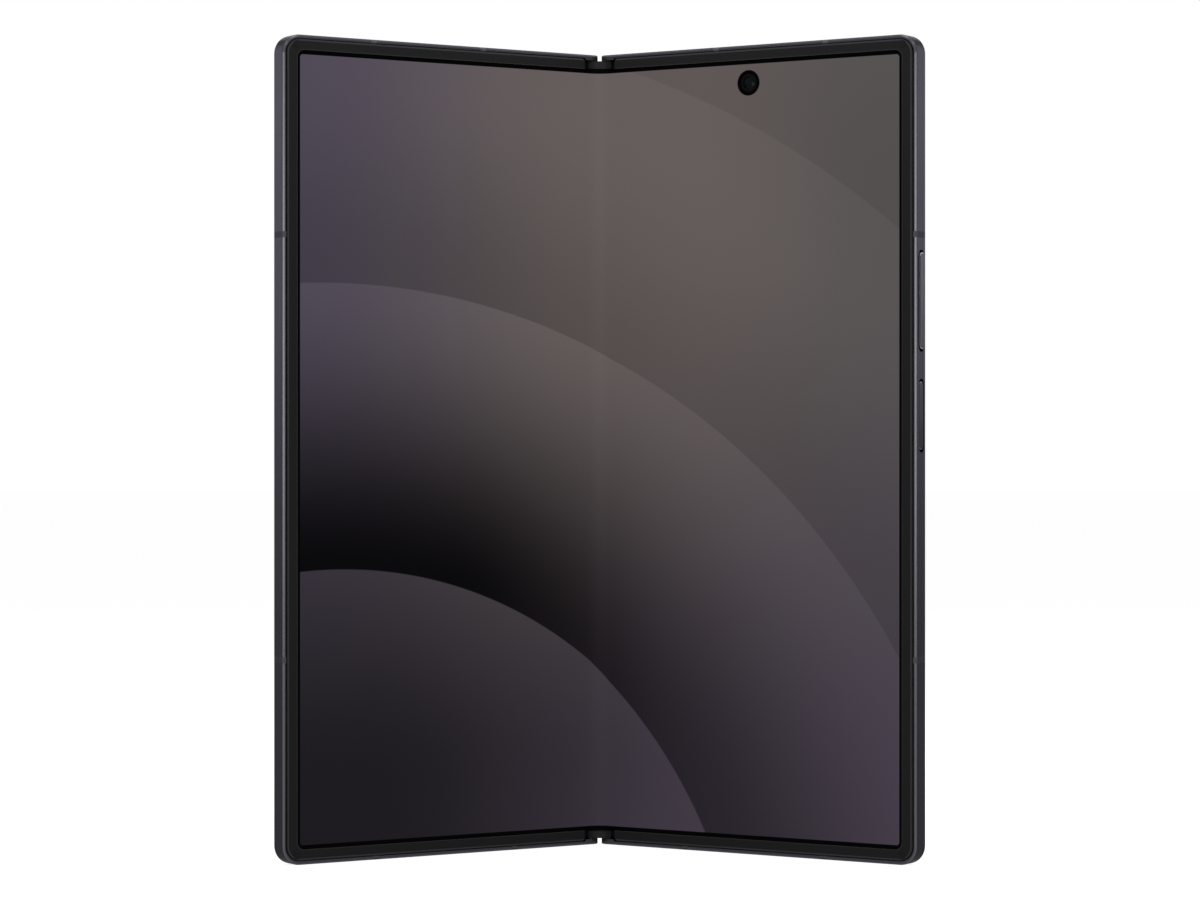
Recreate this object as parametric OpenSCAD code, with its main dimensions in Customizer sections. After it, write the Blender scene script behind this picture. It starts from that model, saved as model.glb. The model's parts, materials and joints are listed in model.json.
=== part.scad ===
// Book-style folding phone, partly open and standing on its lower edges, inner display to -Y.
// A leaf is drawn flat: X runs from the fold line outwards, Y from the display face to the
// back and Z up from the lower edge. on_leaf() then turns it about its own fold axis.

/* [Body] */
// Width of one leaf, from the fold line to its free edge
leaf_w = 71.7; // [66:0.1:80]
// Height of the body
body_h = 158.4; // [150:0.2:172]
// Thickness of one leaf
body_t = 4.2; // [4.2:0.05:4.8]
// Radius of the frame's free corners
corner_r = 3.6; // [3:0.1:6]
// Angle by which each leaf is turned up from flat
fold = 32.5; // [0:0.5:80]

/* [Hinge] */
// Distance of each fold axis from the middle plane
axis_x = 1.3; // [1.2:0.05:1.5]
// Depth of the fold axes behind the display face
axis_y = 1.05; // [1:0.05:1.1]
// Outer radius of the hinge cover about each fold axis
cover_r = 2.5; // [2.4:0.05:2.6]
// Sheet thickness of the hinge cover
cover_wall = 0.35; // [0.3:0.05:0.4]
// Gap between the hinge cover and the leaf around it
cover_gap = 0.1; // [0.08:0.01:0.15]
// Width of the slit between the two frames at the fold line
slit_w = 0.8; // [0.6:0.1:1]
// Thickness of the frame walls over the two ends of the hinge
end_wall = 1.1; // [0.9:0.1:1.4]
// Pitch radius of the four synchronising gears
gear_r = 0.65; // [0.6:0.01:0.68]
// Number of teeth on each synchronising gear
gear_teeth = 10; // [8:2:12]
// Length of the gear teeth along the hinge
gear_l = 4; // [3:0.5:5]
// Length of each rotor along the hinge
rotor_l = 8; // [6:0.5:10]

/* [Display] */
// Depth of the inner display behind the frame face
display_y = 0.25; // [0.2:0.01:0.3]
// Thickness of the inner display
display_t = 0.4; // [0.3:0.05:0.4]
// Half width of the inner display's flexible strip, measured flat
strip_w = 2.55; // [2.4:0.05:2.7]
// Width of the bezel along the free edge
bezel_w = 2.25; // [2:0.01:3]
// Width of the bezel along the upper and lower edges
bezel_h = 2.09; // [2:0.01:3]
// Height by which the bezel stands in front of the frame face
bezel_proud = 0.1; // [0.05:0.01:0.15]
// Distance from the fold line to the bezel's hinge end
bezel_end = 3.9; // [3.7:0.1:4.2]
// Distance of the inner camera from the fold line
inner_cam_x = 34.8; // [20:0.2:44]
// Distance of the inner camera below the upper edge
inner_cam_drop = 7.4; // [7:0.1:9]

/* [Keys and ports] */
// Length of the volume key
volume_l = 19.3; // [16:0.1:22]
// Height of the volume key's centre
volume_z = 107.6; // [104:0.2:112]
// Length of the side key
side_l = 13.9; // [12:0.1:15]
// Height of the side key's centre
side_z = 85.7; // [82:0.1:88]
// Width of both keys
key_w = 1.9; // [1.6:0.1:2.1]
// Height of the volume key above the frame
volume_proud = 0.3; // [0.2:0.05:0.4]
// Distance of the USB-C socket from the fold line
usb_x = 36; // [30:0.5:42]
// Distance of the SIM tray from the fold line
sim_x = 36; // [32:0.5:40]

/* [Back] */
// Thickness of the two back glasses
glass_t = 0.6; // [0.4:0.05:0.6]
// Width of the rear camera island
island_w = 18; // [16:0.5:19]
// Height of the rear camera island
island_h = 56; // [52:1:60]
// Height of the camera island above the back glass
island_t = 1.5; // [1:0.1:2]
// Outer radius of each lens ring
lens_r = 6.6; // [5.5:0.1:7]
// Distance from one rear lens to the next
lens_pitch = 18; // [16:0.5:19]

/* [Hidden] */
$fn = 48;
eps = 0.01;
mid_z = body_h / 2;

// Frame rail: front chamfer, back rounding, rims around the bezel and the back glass
chamfer_x = 0.42;
chamfer_y = 0.5;
back_round = 0.5;
rim_side = 0.55;
rim_end = 0.7;
rail_w = 1.2;
fit = 0.05;
cut = 1;
far = 10;

// Layers of a leaf, from the display face to the back
bezel_bottom = display_y - 0.03;
display_back = display_y + display_t;
plate_y = 0.8;
plate_t = 0.4;
plate_back = plate_y + plate_t;
glass_y = body_t - 0.05 - glass_t;
glass_seat = glass_y - fit;
glass_bevel = 0.15;
parts_y = plate_back + 0.1;
parts_back = glass_seat - 0.15;

// Hinge geometry that follows from the values above
leaf_end = slit_w / 2;
nose_r = axis_x - leaf_end;
channel_r = cover_r + cover_gap;
cover_in_r = cover_r - cover_wall;
cover_rim = 1.5;
cover_z = end_wall + cover_gap;
plate_start = axis_x + channel_r + 0.15;
rail_in = axis_x + channel_r + 1.7;
glass_start = axis_x + channel_r - 0.7;
lip_round = 0.35;
hinge_corner_r = 0.8;
run_gap = 0.04;
block_y = 0.85;
rotor_in = 1.5;
rotor_out = cover_in_r - fit;
rotor_end = 9.5;
rotor_t = 0.5;
rotor_z = [-57, -21, 21, 57];
ledge_back = plate_y + rotor_t + 0.55;

// Synchronising gear train
gear_y = axis_y + 0.9;
gear_x = [3 * gear_r, gear_r];
module_w = 2 * gear_r / gear_teeth;
backlash = 8;
shaft_r = 0.3;
pin_r = 0.2;
arm_l = 3;
arm_end = 8;
arm_y = 1;
arm_t = 0.4;
bearing_t = 1.2;
washer_t = 0.3;
washer_count = 10;
spring_l = washer_count * (washer_t + fit);
bearing_z = [
    -gear_l / 2 - fit - bearing_t,
    gear_l / 2 + arm_l + fit,
    -gear_l / 2 - 2 * fit - 2 * bearing_t - spring_l
];

// Outlines in front view
bezel_gap = 0.2;
bezel_gap_end = 0.14;
bezel_out_x = leaf_w - rim_side - bezel_gap;
bezel_out_z = rim_end + bezel_gap_end;
bezel_corner_r = corner_r - rim_side - bezel_gap;
bezel_bevel = 0.16;
bezel_tip_r = 0.8;
display_end = bezel_out_x - 0.57;
display_z = 2.8;
cap_w = 2.25;
cap_z = display_z - fit;

// Side keys
key_y = 2.25;
key_in = leaf_w - 1.5;
stem_r = 0.5;
key_bevel = 0.2;
stem_l = 0.3;
rocker_stem = 5.5;
bead_r = 0.45;
switch_t = 0.5;
switch_x = leaf_w - rail_w - 2.2;

// Ports in the lower and upper rails
usb_w = 8.34;
usb_h = 2.56;
usb_wall = 0.15;
usb_depth = 6.6;
usb_y = display_back + 0.02 + usb_wall + usb_h / 2;
sim_w = 15;
sim_l = 12.5;
sim_t = 0.9;
sim_face_t = 2;
sim_y = 2.3;
vent_y = 2.35;
vent_r = 0.45;
vent_l = 1.6;
vent_pitch = 2.4;
vent_x = leaf_w - 12.1;
mic_r = 0.4;
mic_top_x = vent_x - 17.6;
mic_left_x = leaf_w - 13.7;
mic_right_x = 27;

// Antenna windows: height on the free edge, distance from the fold line on the others
band_w = 1.2;
band_depth = 0.4;
band_side_z = [39.15, 120.2];
band_top_x = [27.5, leaf_w - 19.7];
band_bottom_x = [20.3, leaf_w - 20.2];

// Rear cameras
island_x = leaf_w - 14.1;
island_z = body_h - 33.4;
lens_z = [for (i = [-1:1]) island_z + i * lens_pitch];
lens_lip = 0.9;
lens_base = body_t - fit + island_t;
barrel_r = lens_r - lens_lip - 0.3;
barrel_top = lens_base - 0.5;
well_steps = [[1, 0.5], [2, 1.1]];
element_r = barrel_r - 2 - fit;
element_t = 0.6;
element_edge = 0.1;
flash_x = island_x - island_w / 2 - 4;
flash_z = island_z + lens_pitch;
rear_mic_drop = 6;

// Cameras under the displays
cam_hole_r = 1.9;
cam_body = 6;
cover_cam_x = leaf_w - 34.6;
cover_cam_z = body_h - 7.5;

// Inner parts, each [centre x, centre z, width, height], laid out from the walls around them
function area(x0, x1, z0, z1) = [(x0 + x1) / 2, (z0 + z1) / 2, x1 - x0, z1 - z0];
panel_y = glass_seat - 0.45;
coil_y = glass_seat - 0.3;
camera_s = 2 * lens_r - 0.2;
camera_low = lens_z[0] - camera_s / 2;
part_gap = 1;
tab_h = 2;
inner_start = rotor_end + 2;
inner_end = leaf_w - 10;
battery_low = 36;
battery_r = area(inner_start, inner_end, battery_low, camera_low - part_gap - tab_h);
battery_drop = 38;
battery_l = area(inner_start, inner_end, battery_low, body_h - battery_drop);
board_t = 0.6;
board_r = area(inner_start, island_x - camera_s / 2 - 3.5, camera_low, body_h - 6.4);
board_l = area(inner_start, inner_end, battery_l[1] + battery_l[3] / 2 + tab_h + 3, body_h - 9);
can_t = 1.1;
can_wall = 0.2;
can_rows = [[camera_low + 2, camera_low + 16], [camera_low + 19, flash_z - 3.5]];
can_columns = [[inner_start + 2, board_r[0] - 1], [board_r[0] + 1, board_r[0] + board_r[2] / 2 - 2]];
coil_r = 22;
coil_step = 2;
coil_wire = 1.6;
speaker_w = 14;
speaker_h = 16.5;
earpiece_h = 6.5;
motor_w = 12;
motor_h = 8;
motor_low = 20;
motor = area(inner_start, inner_start + motor_w, motor_low, motor_low + motor_h);

// Y of a point of a leaf once the leaf is turned
function turned_y(x, y) =
    axis_y - (x - axis_x) * sin(fold) + (y - axis_y) * cos(fold);

function turned_x(x, y) =
    axis_x + (x - axis_x) * cos(fold) + (y - axis_y) * sin(fold);

// The origin is the centre of the footprint of the standing phone
back_reach = turned_y(leaf_end + lip_round, body_t - lip_round) + lip_round;
front_reach = turned_y(leaf_w - chamfer_x, 0);
stand_y = -(back_reach + front_reach) / 2;

module on_spine() {
    translate([0, stand_y, 0]) children();
}

module turn_about(x, y, angle) {
    translate([x, y, 0])
        rotate([0, 0, angle])
            translate([-x, -y, 0])
                children();
}

// side is 1 for the right leaf and -1 for the left one
module on_side(side) {
    if (side < 0) {
        mirror([1, 0, 0]) children();
    } else {
        children();
    }
}

module on_leaf(side) {
    on_spine()
        on_side(side)
            turn_about(axis_x, axis_y, -fold)
                children();
}

// A bar along Z with its outline drawn in X and Y
module bar(z0, z1) {
    translate([0, 0, z0])
        linear_extrude(z1 - z0)
            children();
}

// A plate in X and Z, from y0 to y1
module slab(y0, y1) {
    translate([0, y1, 0])
        rotate([90, 0, 0])
            linear_extrude(y1 - y0)
                children();
}

module box(x0, x1, y0, y1, z0, z1) {
    translate([x0, y0, z0])
        cube([x1 - x0, y1 - y0, z1 - z0]);
}

// Rectangle rounded by r at all four corners
module round_rect(x0, x1, z0, z1, r) {
    translate([x0 + r, z0])
        square([x1 - x0 - 2 * r, z1 - z0]);
    translate([x0, z0 + r])
        square([x1 - x0, z1 - z0 - 2 * r]);
    for (x = [x0 + r, x1 - r])
        for (z = [z0 + r, z1 - r])
            translate([x, z])
                circle(r);
}

// Rectangle rounded by r at the free corners and by r_in at the corners next to the hinge
module leaf_outline(x0, x1, z0, z1, r, r_in) {
    split = (x0 + x1) / 2;
    intersection() {
        round_rect(x0, x1 + cut, z0, z1, r_in);
        translate([x0, z0])
            square([split - x0, z1 - z0]);
    }
    intersection() {
        round_rect(x0 - cut, x1, z0, z1, r);
        translate([split, z0])
            square([x1 - split, z1 - z0]);
    }
}

// Cylinder along Y
module disc(x, z, r, y0, y1) {
    translate([x, y1, z])
        rotate([90, 0, 0])
            cylinder(r = r, h = y1 - y0);
}

// Round hole along Z through a rail
module rail_hole(x, y, r, z0, z1) {
    translate([x, y, z0])
        cylinder(r = r, h = z1 - z0);
}

// Slot with round ends along X, cut along Z through a rail
module rail_slot(x, y, half_l, r, z0, z1) {
    bar(z0, z1) {
        translate([x - half_l, y])
            circle(r);
        translate([x + half_l, y])
            circle(r);
        translate([x - half_l, y - r])
            square([2 * half_l, 2 * r]);
    }
}

// Section of the outer edge: X outwards from the corner's centre, Y through the thickness
module edge_section(r) {
    polygon([
        [0, 0], [r - chamfer_x, 0], [r, chamfer_y], [r, body_t - back_round],
        [r - back_round, body_t], [0, body_t]
    ]);
    intersection() {
        translate([r - back_round, body_t - back_round])
            circle(back_round);
        translate([r - back_round, body_t - back_round])
            square(back_round);
    }
}

// A bar along X with its outline drawn in Y and Z
module edge_bar(x0, x1) {
    translate([x0, 0, 0])
        rotate([90, 0, 90])
            linear_extrude(x1 - x0)
                children();
}

// Solid leaf with its chamfered and rounded edges, before anything is cut out of it
module leaf_blank() {
    straight = leaf_w - corner_r;
    box(0, straight, 0, body_t, corner_r, body_h - corner_r);
    for (top = [0, 1])
        translate([0, 0, top * body_h])
            mirror([0, 0, top])
                translate([0, 0, corner_r]) {
                    edge_bar(0, straight)
                        rotate(-90)
                            edge_section(corner_r);
                    translate([straight, 0, 0])
                        rotate([-90, 0, 0])
                            rotate_extrude(angle = 90)
                                edge_section(corner_r);
                }
    bar(corner_r, body_h - corner_r)
        translate([straight, 0])
            edge_section(corner_r);
}

// Outline of the hinge end of the end walls: a nose round the fold axis, straight behind it
module nose_outline() {
    run = nose_r;
    reach = sqrt(run * run + axis_y * axis_y);
    turn = atan2(-axis_y, run) - acos(nose_r / reach);
    tangent = [axis_x + nose_r * cos(turn), axis_y + nose_r * sin(turn)];
    translate([axis_x + run, 0])
        square([leaf_w, body_t]);
    polygon([[axis_x + run, 0], tangent, [axis_x, axis_y], [axis_x + run, axis_y]]);
    translate([axis_x, axis_y])
        circle(nose_r);
    translate([leaf_end, axis_y])
        square([leaf_w, body_t - axis_y - lip_round]);
    translate([leaf_end + lip_round, axis_y])
        square([leaf_w, body_t - axis_y]);
    translate([leaf_end + lip_round, body_t - lip_round])
        circle(lip_round);
}

module hinge_channel() {
    bar(end_wall, body_h - end_wall) {
        translate([axis_x, axis_y])
            circle(channel_r);
        translate([-cut, -cut])
            square([plate_start + cut, axis_y + cut]);
        translate([-cut, -cut])
            square([axis_x + cut, axis_y + channel_r + cut]);
    }
}

// Rounded outer corners of the frame's hinge ends, seen from the front
module hinge_corner_cuts() {
    r = hinge_corner_r;
    slab(-cut, body_t + cut)
        for (top = [0, 1])
            translate([leaf_end, top * body_h])
                mirror([0, top])
                    difference() {
                        translate([-cut, -cut])
                            square([cut + r, cut + r]);
                        translate([r, r])
                            circle(r);
                        translate([r, 0])
                            square(r);
                    }
}

module frame_body() {
    difference() {
        intersection() {
            leaf_blank();
            bar(-cut, body_h + cut)
                nose_outline();
        }
        hinge_channel();
        hinge_corner_cuts();
        // seat of the bezel
        slab(-cut, display_y)
            leaf_outline(
                bezel_end - fit, leaf_w - rim_side, rim_end, body_h - rim_end,
                corner_r - rim_side, 0.4
            );
        // seat of the display
        slab(-cut, plate_y)
            leaf_outline(
                bezel_end - fit, display_end + 0.2, display_z - 0.3,
                body_h - display_z + 0.3, 1.5, 0.2
            );
        // room for the inner parts behind the middle plate
        slab(plate_back, body_t)
            round_rect(rail_in, leaf_w - rail_w, rail_w + 0.2, body_h - rail_w - 0.2, 2.2);
        // seat of the back glass
        slab(glass_seat, body_t + cut)
            leaf_outline(
                glass_start, leaf_w - rim_side, rim_side, body_h - rim_side,
                corner_r - rim_side, 0.8
            );
    }
}

// Raised seats behind the middle plate, one behind each rotor
module rotor_seats() {
    for (z = rotor_z)
        box(
            rail_in - cut, rotor_end + 1, plate_back - eps, ledge_back,
            mid_z + z - rotor_l / 2 - 1, mid_z + z + rotor_l / 2 + 1
        );
}

module rotor_pockets() {
    for (z = rotor_z)
        box(
            0, rotor_end + fit, 0, plate_y + rotor_t,
            mid_z + z - rotor_l / 2 - fit, mid_z + z + rotor_l / 2 + fit
        );
}

module at_rotor_screws() {
    for (z = rotor_z)
        for (dz = [-1, 1])
            translate([rotor_end - 1.5, 0, mid_z + z + dz * rotor_l / 4])
                children();
}

module rotor_screw_bores() {
    at_rotor_screws()
        disc(0, 0, 0.42, plate_y, ledge_back + cut);
}

module sync_slot() {
    box(
        0, arm_end + 0.3, display_back, arm_y + arm_t + 0.4,
        mid_z + gear_l / 2 - fit, mid_z + gear_l / 2 + arm_l + fit
    );
}

// Strips of the rails where the antenna windows lie
module window_strips() {
    for (z = band_side_z)
        box(leaf_w - corner_r, leaf_w + cut, -cut, body_t + cut, z - band_w / 2, z + band_w / 2);
    for (x = band_top_x)
        box(x - band_w / 2, x + band_w / 2, -cut, body_t + cut, body_h - corner_r, body_h + cut);
    for (x = band_bottom_x)
        box(x - band_w / 2, x + band_w / 2, -cut, body_t + cut, -cut, corner_r);
}

module window_core() {
    box(
        0, leaf_w - band_depth, band_depth, body_t - band_depth, band_depth,
        body_h - band_depth
    );
}

module window_grooves() {
    difference() {
        window_strips();
        window_core();
    }
}

module vents(z0, z1) {
    for (i = [-2:2])
        rail_slot(vent_x + i * vent_pitch, vent_y, vent_l / 2 - vent_r, vent_r, z0, z1);
}

module frame_left() {
    color([0.29, 0.29, 0.32])
        on_leaf(-1)
            difference() {
                union() {
                    frame_body();
                    rotor_seats();
                }
                rotor_pockets();
                rotor_screw_bores();
                sync_slot();
                window_grooves();
                vents(body_h - 2, body_h + cut);
                rail_hole(mic_top_x, vent_y, mic_r, body_h - 2, body_h + cut);
                rail_hole(mic_left_x, vent_y, mic_r, -cut, 2);
                // mouth of the SIM tray
                rail_slot(
                    sim_x, sim_y, sim_w / 2 + 0.4 - sim_face_t / 2 + fit,
                    sim_face_t / 2 + fit, -cut, 2
                );
            }
}

module key_slot(z, length) {
    translate([key_in - cut, key_y, z])
        rotate([0, 90, 0])
            linear_extrude(leaf_w - key_in + 2 * cut)
                stadium(length + 0.2, key_w + 0.2);
}

// Slot shape with its long side along X of the sketch
module stadium(length, width) {
    square([length - width, width], center = true);
    for (i = [-1, 1])
        translate([i * (length - width) / 2, 0])
            circle(width / 2);
}

module frame_right() {
    color([0.29, 0.29, 0.32])
        on_leaf(1)
            difference() {
                union() {
                    frame_body();
                    rotor_seats();
                }
                rotor_pockets();
                rotor_screw_bores();
                sync_slot();
                window_grooves();
                vents(-cut, 2);
                rail_hole(mic_right_x, vent_y, mic_r, -cut, 2);
                rail_hole(mic_top_x, vent_y, mic_r, body_h - 2, body_h + cut);
                key_slot(volume_z, volume_l);
                key_slot(side_z, side_l);
                // mouth and bed of the USB-C socket
                rail_slot(
                    usb_x, usb_y, (usb_w - usb_h) / 2, usb_h / 2 + usb_wall + fit,
                    -cut, usb_depth + 1
                );
                disc(inner_cam_x, body_h - inner_cam_drop, cam_hole_r + 0.1, 0, plate_back + eps);
            }
}

module antenna_windows(side) {
    color([0.2, 0.2, 0.23])
        on_leaf(side)
            difference() {
                intersection() {
                    frame_body();
                    window_strips();
                }
                window_core();
            }
}

// Outer outline of the bezel, drawn in from its edge by inset
module bezel_outline(inset) {
    leaf_outline(
        bezel_end + inset, bezel_out_x - inset, bezel_out_z + inset,
        body_h - bezel_out_z - inset, bezel_corner_r - inset, bezel_tip_r - inset
    );
}

// Bezel: a flat U around the display with bevelled edges, open towards the hinge
module bezel(side) {
    color([0.1, 0.1, 0.1])
        on_leaf(side)
            difference() {
                union() {
                    slab(bezel_bevel - bezel_proud, bezel_bottom)
                        bezel_outline(0);
                    slab(-bezel_proud, bezel_bottom)
                        bezel_outline(bezel_bevel);
                }
                slab(-cut, body_t)
                    leaf_outline(
                        0, bezel_out_x - bezel_w, bezel_out_z + bezel_h,
                        body_h - bezel_out_z - bezel_h, 1.5, 0.2
                    );
            }
}

module bezel_bumpers(side) {
    color([0.07, 0.07, 0.07])
        on_leaf(side)
            for (z = [bezel_out_z + bezel_h / 2, body_h - bezel_out_z - bezel_h / 2])
                disc(bezel_out_x - bezel_h, z, 0.7, -bezel_proud - 0.08, -bezel_proud);
}

module display_panel(side, hole) {
    color([0.3, 0.28, 0.31])
        on_leaf(side)
            difference() {
                slab(display_y, display_back)
                    leaf_outline(strip_w + 0.03, display_end, display_z, body_h - display_z, 1.2, 0.1);
                if (hole)
                    disc(inner_cam_x, body_h - inner_cam_drop, cam_hole_r, 0, body_t);
            }
}

// Flexible strip of the display: an arc that runs into both panels without a kink
module display_fold() {
    reach = turned_x(strip_w, display_y);
    bend = fold > 0 ? reach / sin(fold) : 1;
    front = turned_y(strip_w, display_y) + bend * (1 - cos(fold));
    color([0.3, 0.28, 0.31])
        on_spine()
            if (fold > 0) {
                bar(display_z, body_h - display_z)
                    difference() {
                        intersection() {
                            translate([0, front - bend])
                                circle(bend + display_t, $fn = 96);
                            polygon([
                                [0, front - bend],
                                [-2 * bend * sin(fold - 0.3), front - bend + 2 * bend * cos(fold - 0.3)],
                                [2 * bend * sin(fold - 0.3), front - bend + 2 * bend * cos(fold - 0.3)]
                            ]);
                        }
                        translate([0, front - bend])
                            circle(bend, $fn = 96);
                    }
            } else {
                box(-strip_w, strip_w, display_y, display_back, display_z, body_h - display_z);
            }
}

// Outline of the hinge cover: two arcs about the fold axes and a flat back
module cover_outline(r, y0) {
    intersection() {
        union() {
            for (i = [-1, 1])
                translate([i * axis_x, axis_y])
                    circle(r);
            translate([-axis_x, axis_y])
                square([2 * axis_x, r]);
        }
        translate([-far, y0])
            square([2 * far, far]);
    }
}

module hinge_cover() {
    color([0.2, 0.2, 0.22])
        on_spine()
            difference() {
                bar(cover_z, body_h - cover_z)
                    cover_outline(cover_r, cover_rim);
                bar(0, body_h)
                    cover_outline(cover_in_r, 0);
            }
}

// End caps: plugs in the ends of the cover with a hollow front that follows the fold
module hinge_end_caps() {
    hollow_r = 5;
    front = -bezel_proud;
    depth = hollow_r - sqrt(hollow_r * hollow_r - cap_w * cap_w);
    color([0.09, 0.09, 0.09])
        on_spine()
            for (z = [[cover_z, cap_z], [body_h - cap_z, body_h - cover_z]])
                bar(z[0], z[1])
                    difference() {
                        union() {
                            cover_outline(cover_in_r - 0.02, block_y);
                            translate([-cap_w, front])
                                square([2 * cap_w, 2]);
                        }
                        translate([0, front + depth - hollow_r])
                            circle(hollow_r, $fn = 96);
                    }
}

// Rail core of a rotor module: two round guides and the web between them
module guide_outline() {
    intersection() {
        union() {
            for (i = [-1, 1])
                translate([i * axis_x, axis_y])
                    circle(rotor_in - run_gap);
            translate([-0.18, 0])
                square([0.36, axis_y + cover_in_r - 0.01]);
        }
        translate([-far, block_y])
            square([2 * far, far]);
    }
}

module foot_outline() {
    cover_outline(cover_in_r - 0.02, block_y);
}

module at_foot_screws() {
    for (z = rotor_z)
        for (dz = [-1, 1])
            translate([0, 0, mid_z + z + dz * (rotor_l / 2 + 1.15)])
                children();
}

module hinge_blocks() {
    color([0.55, 0.55, 0.57])
        on_spine() {
            for (z = rotor_z)
                difference() {
                    union() {
                        bar(mid_z + z - rotor_l / 2 - 2, mid_z + z + rotor_l / 2 + 2)
                            guide_outline();
                        for (dz = [-rotor_l / 2 - 2, rotor_l / 2 + fit])
                            bar(mid_z + z + dz, mid_z + z + dz + 2 - fit)
                                foot_outline();
                    }
                    for (dz = [-1, 1])
                        translate([0, 0, mid_z + z + dz * (rotor_l / 2 + 1.15)]) {
                            disc(0, 0, 0.32, 0, 5);
                            disc(0, 0, 0.6, 0, block_y + 0.35);
                        }
                }
            for (z = bearing_z)
                difference() {
                    bar(mid_z + z, mid_z + z + bearing_t)
                        foot_outline();
                    for (i = [-1, 1]) {
                        translate([i * gear_x[0], gear_y, 0])
                            cylinder(r = shaft_r + run_gap, h = body_h);
                        translate([i * gear_x[1], gear_y, 0])
                            cylinder(r = pin_r, h = body_h);
                    }
                }
        }
}

module hinge_screws() {
    color([0.6, 0.6, 0.62])
        on_spine()
            at_foot_screws() {
                disc(0, 0, 0.3, block_y, axis_y + cover_in_r - 0.03);
                difference() {
                    disc(0, 0, 0.57, block_y + 0.05, block_y + 0.35);
                    disc(0, 0, 0.22, 0, block_y + 0.18);
                }
            }
}

// One gear tooth as an involute flank on each side, centred on the X axis
function involute(base, r) = tan(acos(base / r)) * 180 / PI - acos(base / r);

function tooth_points() =
    let (
        base = gear_r * cos(20),
        tip = gear_r + 0.85 * module_w,
        half = (90 - backlash) / gear_teeth + involute(base, gear_r),
        radii = [base - 1.4 * module_w, base, (base + gear_r) / 2, gear_r, (gear_r + tip) / 2, tip],
        angles = [for (r = radii) half - (r > base ? involute(base, r) : 0)]
    )
    concat(
        [for (i = [0:5]) radii[i] * [cos(angles[i]), sin(angles[i])]],
        [for (i = [5:-1:0]) radii[i] * [cos(angles[i]), -sin(angles[i])]]
    );

module gear_blank(phase) {
    cylinder(r = gear_r - 1.15 * module_w, h = gear_l);
    for (i = [0:gear_teeth - 1])
        linear_extrude(gear_l)
            rotate(phase + i * 360 / gear_teeth)
                polygon(tooth_points());
}

// Sync arm: an end gear, its shaft and the tongue that slides in the leaf
module sync_arm(side) {
    phase = side < 0 ? 0 : 180 / gear_teeth;
    color([0.62, 0.6, 0.56])
        on_spine()
            on_side(side)
                turn_about(gear_x[0], gear_y, -fold) {
                    translate([gear_x[0], gear_y, mid_z - gear_l / 2])
                        gear_blank(phase);
                    bar(mid_z + gear_l / 2, mid_z + gear_l / 2 + arm_l) {
                        translate([gear_x[0], gear_y])
                            circle(0.55);
                        translate([gear_x[0] - 0.55, arm_y])
                            square([1.1, gear_y - arm_y]);
                        translate([gear_x[0] - 0.55, arm_y])
                            square([arm_end - gear_x[0] + 0.55, arm_t]);
                    }
                    bar(mid_z + bearing_z[2], mid_z + bearing_z[1] + bearing_t)
                        translate([gear_x[0], gear_y])
                            circle(shaft_r);
                }
}

module idler_gear(side) {
    phase = side < 0 ? 180 / gear_teeth : 0;
    color([0.62, 0.6, 0.56])
        on_spine()
            on_side(side)
                turn_about(gear_x[1], gear_y, fold)
                    translate([gear_x[1], gear_y, mid_z - gear_l / 2])
                        difference() {
                            gear_blank(phase);
                            translate([0, 0, -cut])
                                cylinder(r = pin_r + run_gap, h = gear_l + 2 * cut);
                        }
}

module idler_pins() {
    color([0.7, 0.7, 0.7])
        on_spine()
            for (i = [-1, 1])
                bar(mid_z + bearing_z[0], mid_z + bearing_z[1] + bearing_t)
                    translate([i * gear_x[1], gear_y])
                        circle(pin_r);
}

// Stacks of washers that brake the two outer shafts
module friction_washers() {
    color([0.5, 0.5, 0.5])
        on_spine()
            for (i = [-1, 1])
                for (k = [0:washer_count - 1])
                    translate([
                        i * gear_x[0], gear_y,
                        mid_z + bearing_z[0] - fit - washer_t - k * (washer_t + fit)
                    ])
                        difference() {
                            cylinder(r = 0.72, h = washer_t);
                            translate([0, 0, -cut])
                                cylinder(r = shaft_r + run_gap, h = washer_t + 2 * cut);
                        }
}

// Rotor: an arched rail that runs in the hinge block and a flange screwed to the leaf
module rotors(side) {
    color([0.58, 0.58, 0.6])
        on_leaf(side)
            difference() {
                for (z = rotor_z)
                    bar(mid_z + z - rotor_l / 2, mid_z + z + rotor_l / 2) {
                        intersection() {
                            difference() {
                                translate([axis_x, axis_y])
                                    circle(rotor_out);
                                translate([axis_x, axis_y])
                                    circle(rotor_in);
                            }
                            polygon([
                                [axis_x, axis_y], [axis_x + 5, axis_y], [axis_x + 5, axis_y + 5],
                                [axis_x - 5 * tan(30), axis_y + 5]
                            ]);
                        }
                        translate([axis_x + rotor_in + 0.1, plate_y])
                            square([rotor_end - axis_x - rotor_in - 0.1, rotor_t]);
                    }
                at_rotor_screws() {
                    disc(0, 0, 0.42, 0, 5);
                    disc(0, 0, 0.75, 0, plate_y + 0.25);
                }
            }
}

module rotor_screws(side) {
    color([0.6, 0.6, 0.62])
        on_leaf(side)
            at_rotor_screws() {
                disc(0, 0, 0.4, plate_y, ledge_back);
                difference() {
                    disc(0, 0, 0.7, plate_y, plate_y + 0.25);
                    disc(0, 0, 0.25, 0, plate_y + 0.15);
                }
            }
}

// Flat inner piece given by [centre x, centre z, width, height]
module inner_piece(p, y0, y1, r) {
    slab(y0, y1)
        round_rect(p[0] - p[2] / 2, p[0] + p[2] / 2, p[1] - p[3] / 2, p[1] + p[3] / 2, r);
}

module battery(side, p, y1) {
    color([0.16, 0.16, 0.17])
        on_leaf(side) {
            inner_piece(p, parts_y, y1, 1.2);
            inner_piece(
                [p[0], p[1] + p[3] / 2 + tab_h / 2, p[2] - 8, tab_h + eps], parts_y,
                parts_y + 0.8, 0.4
            );
        }
}

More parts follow.
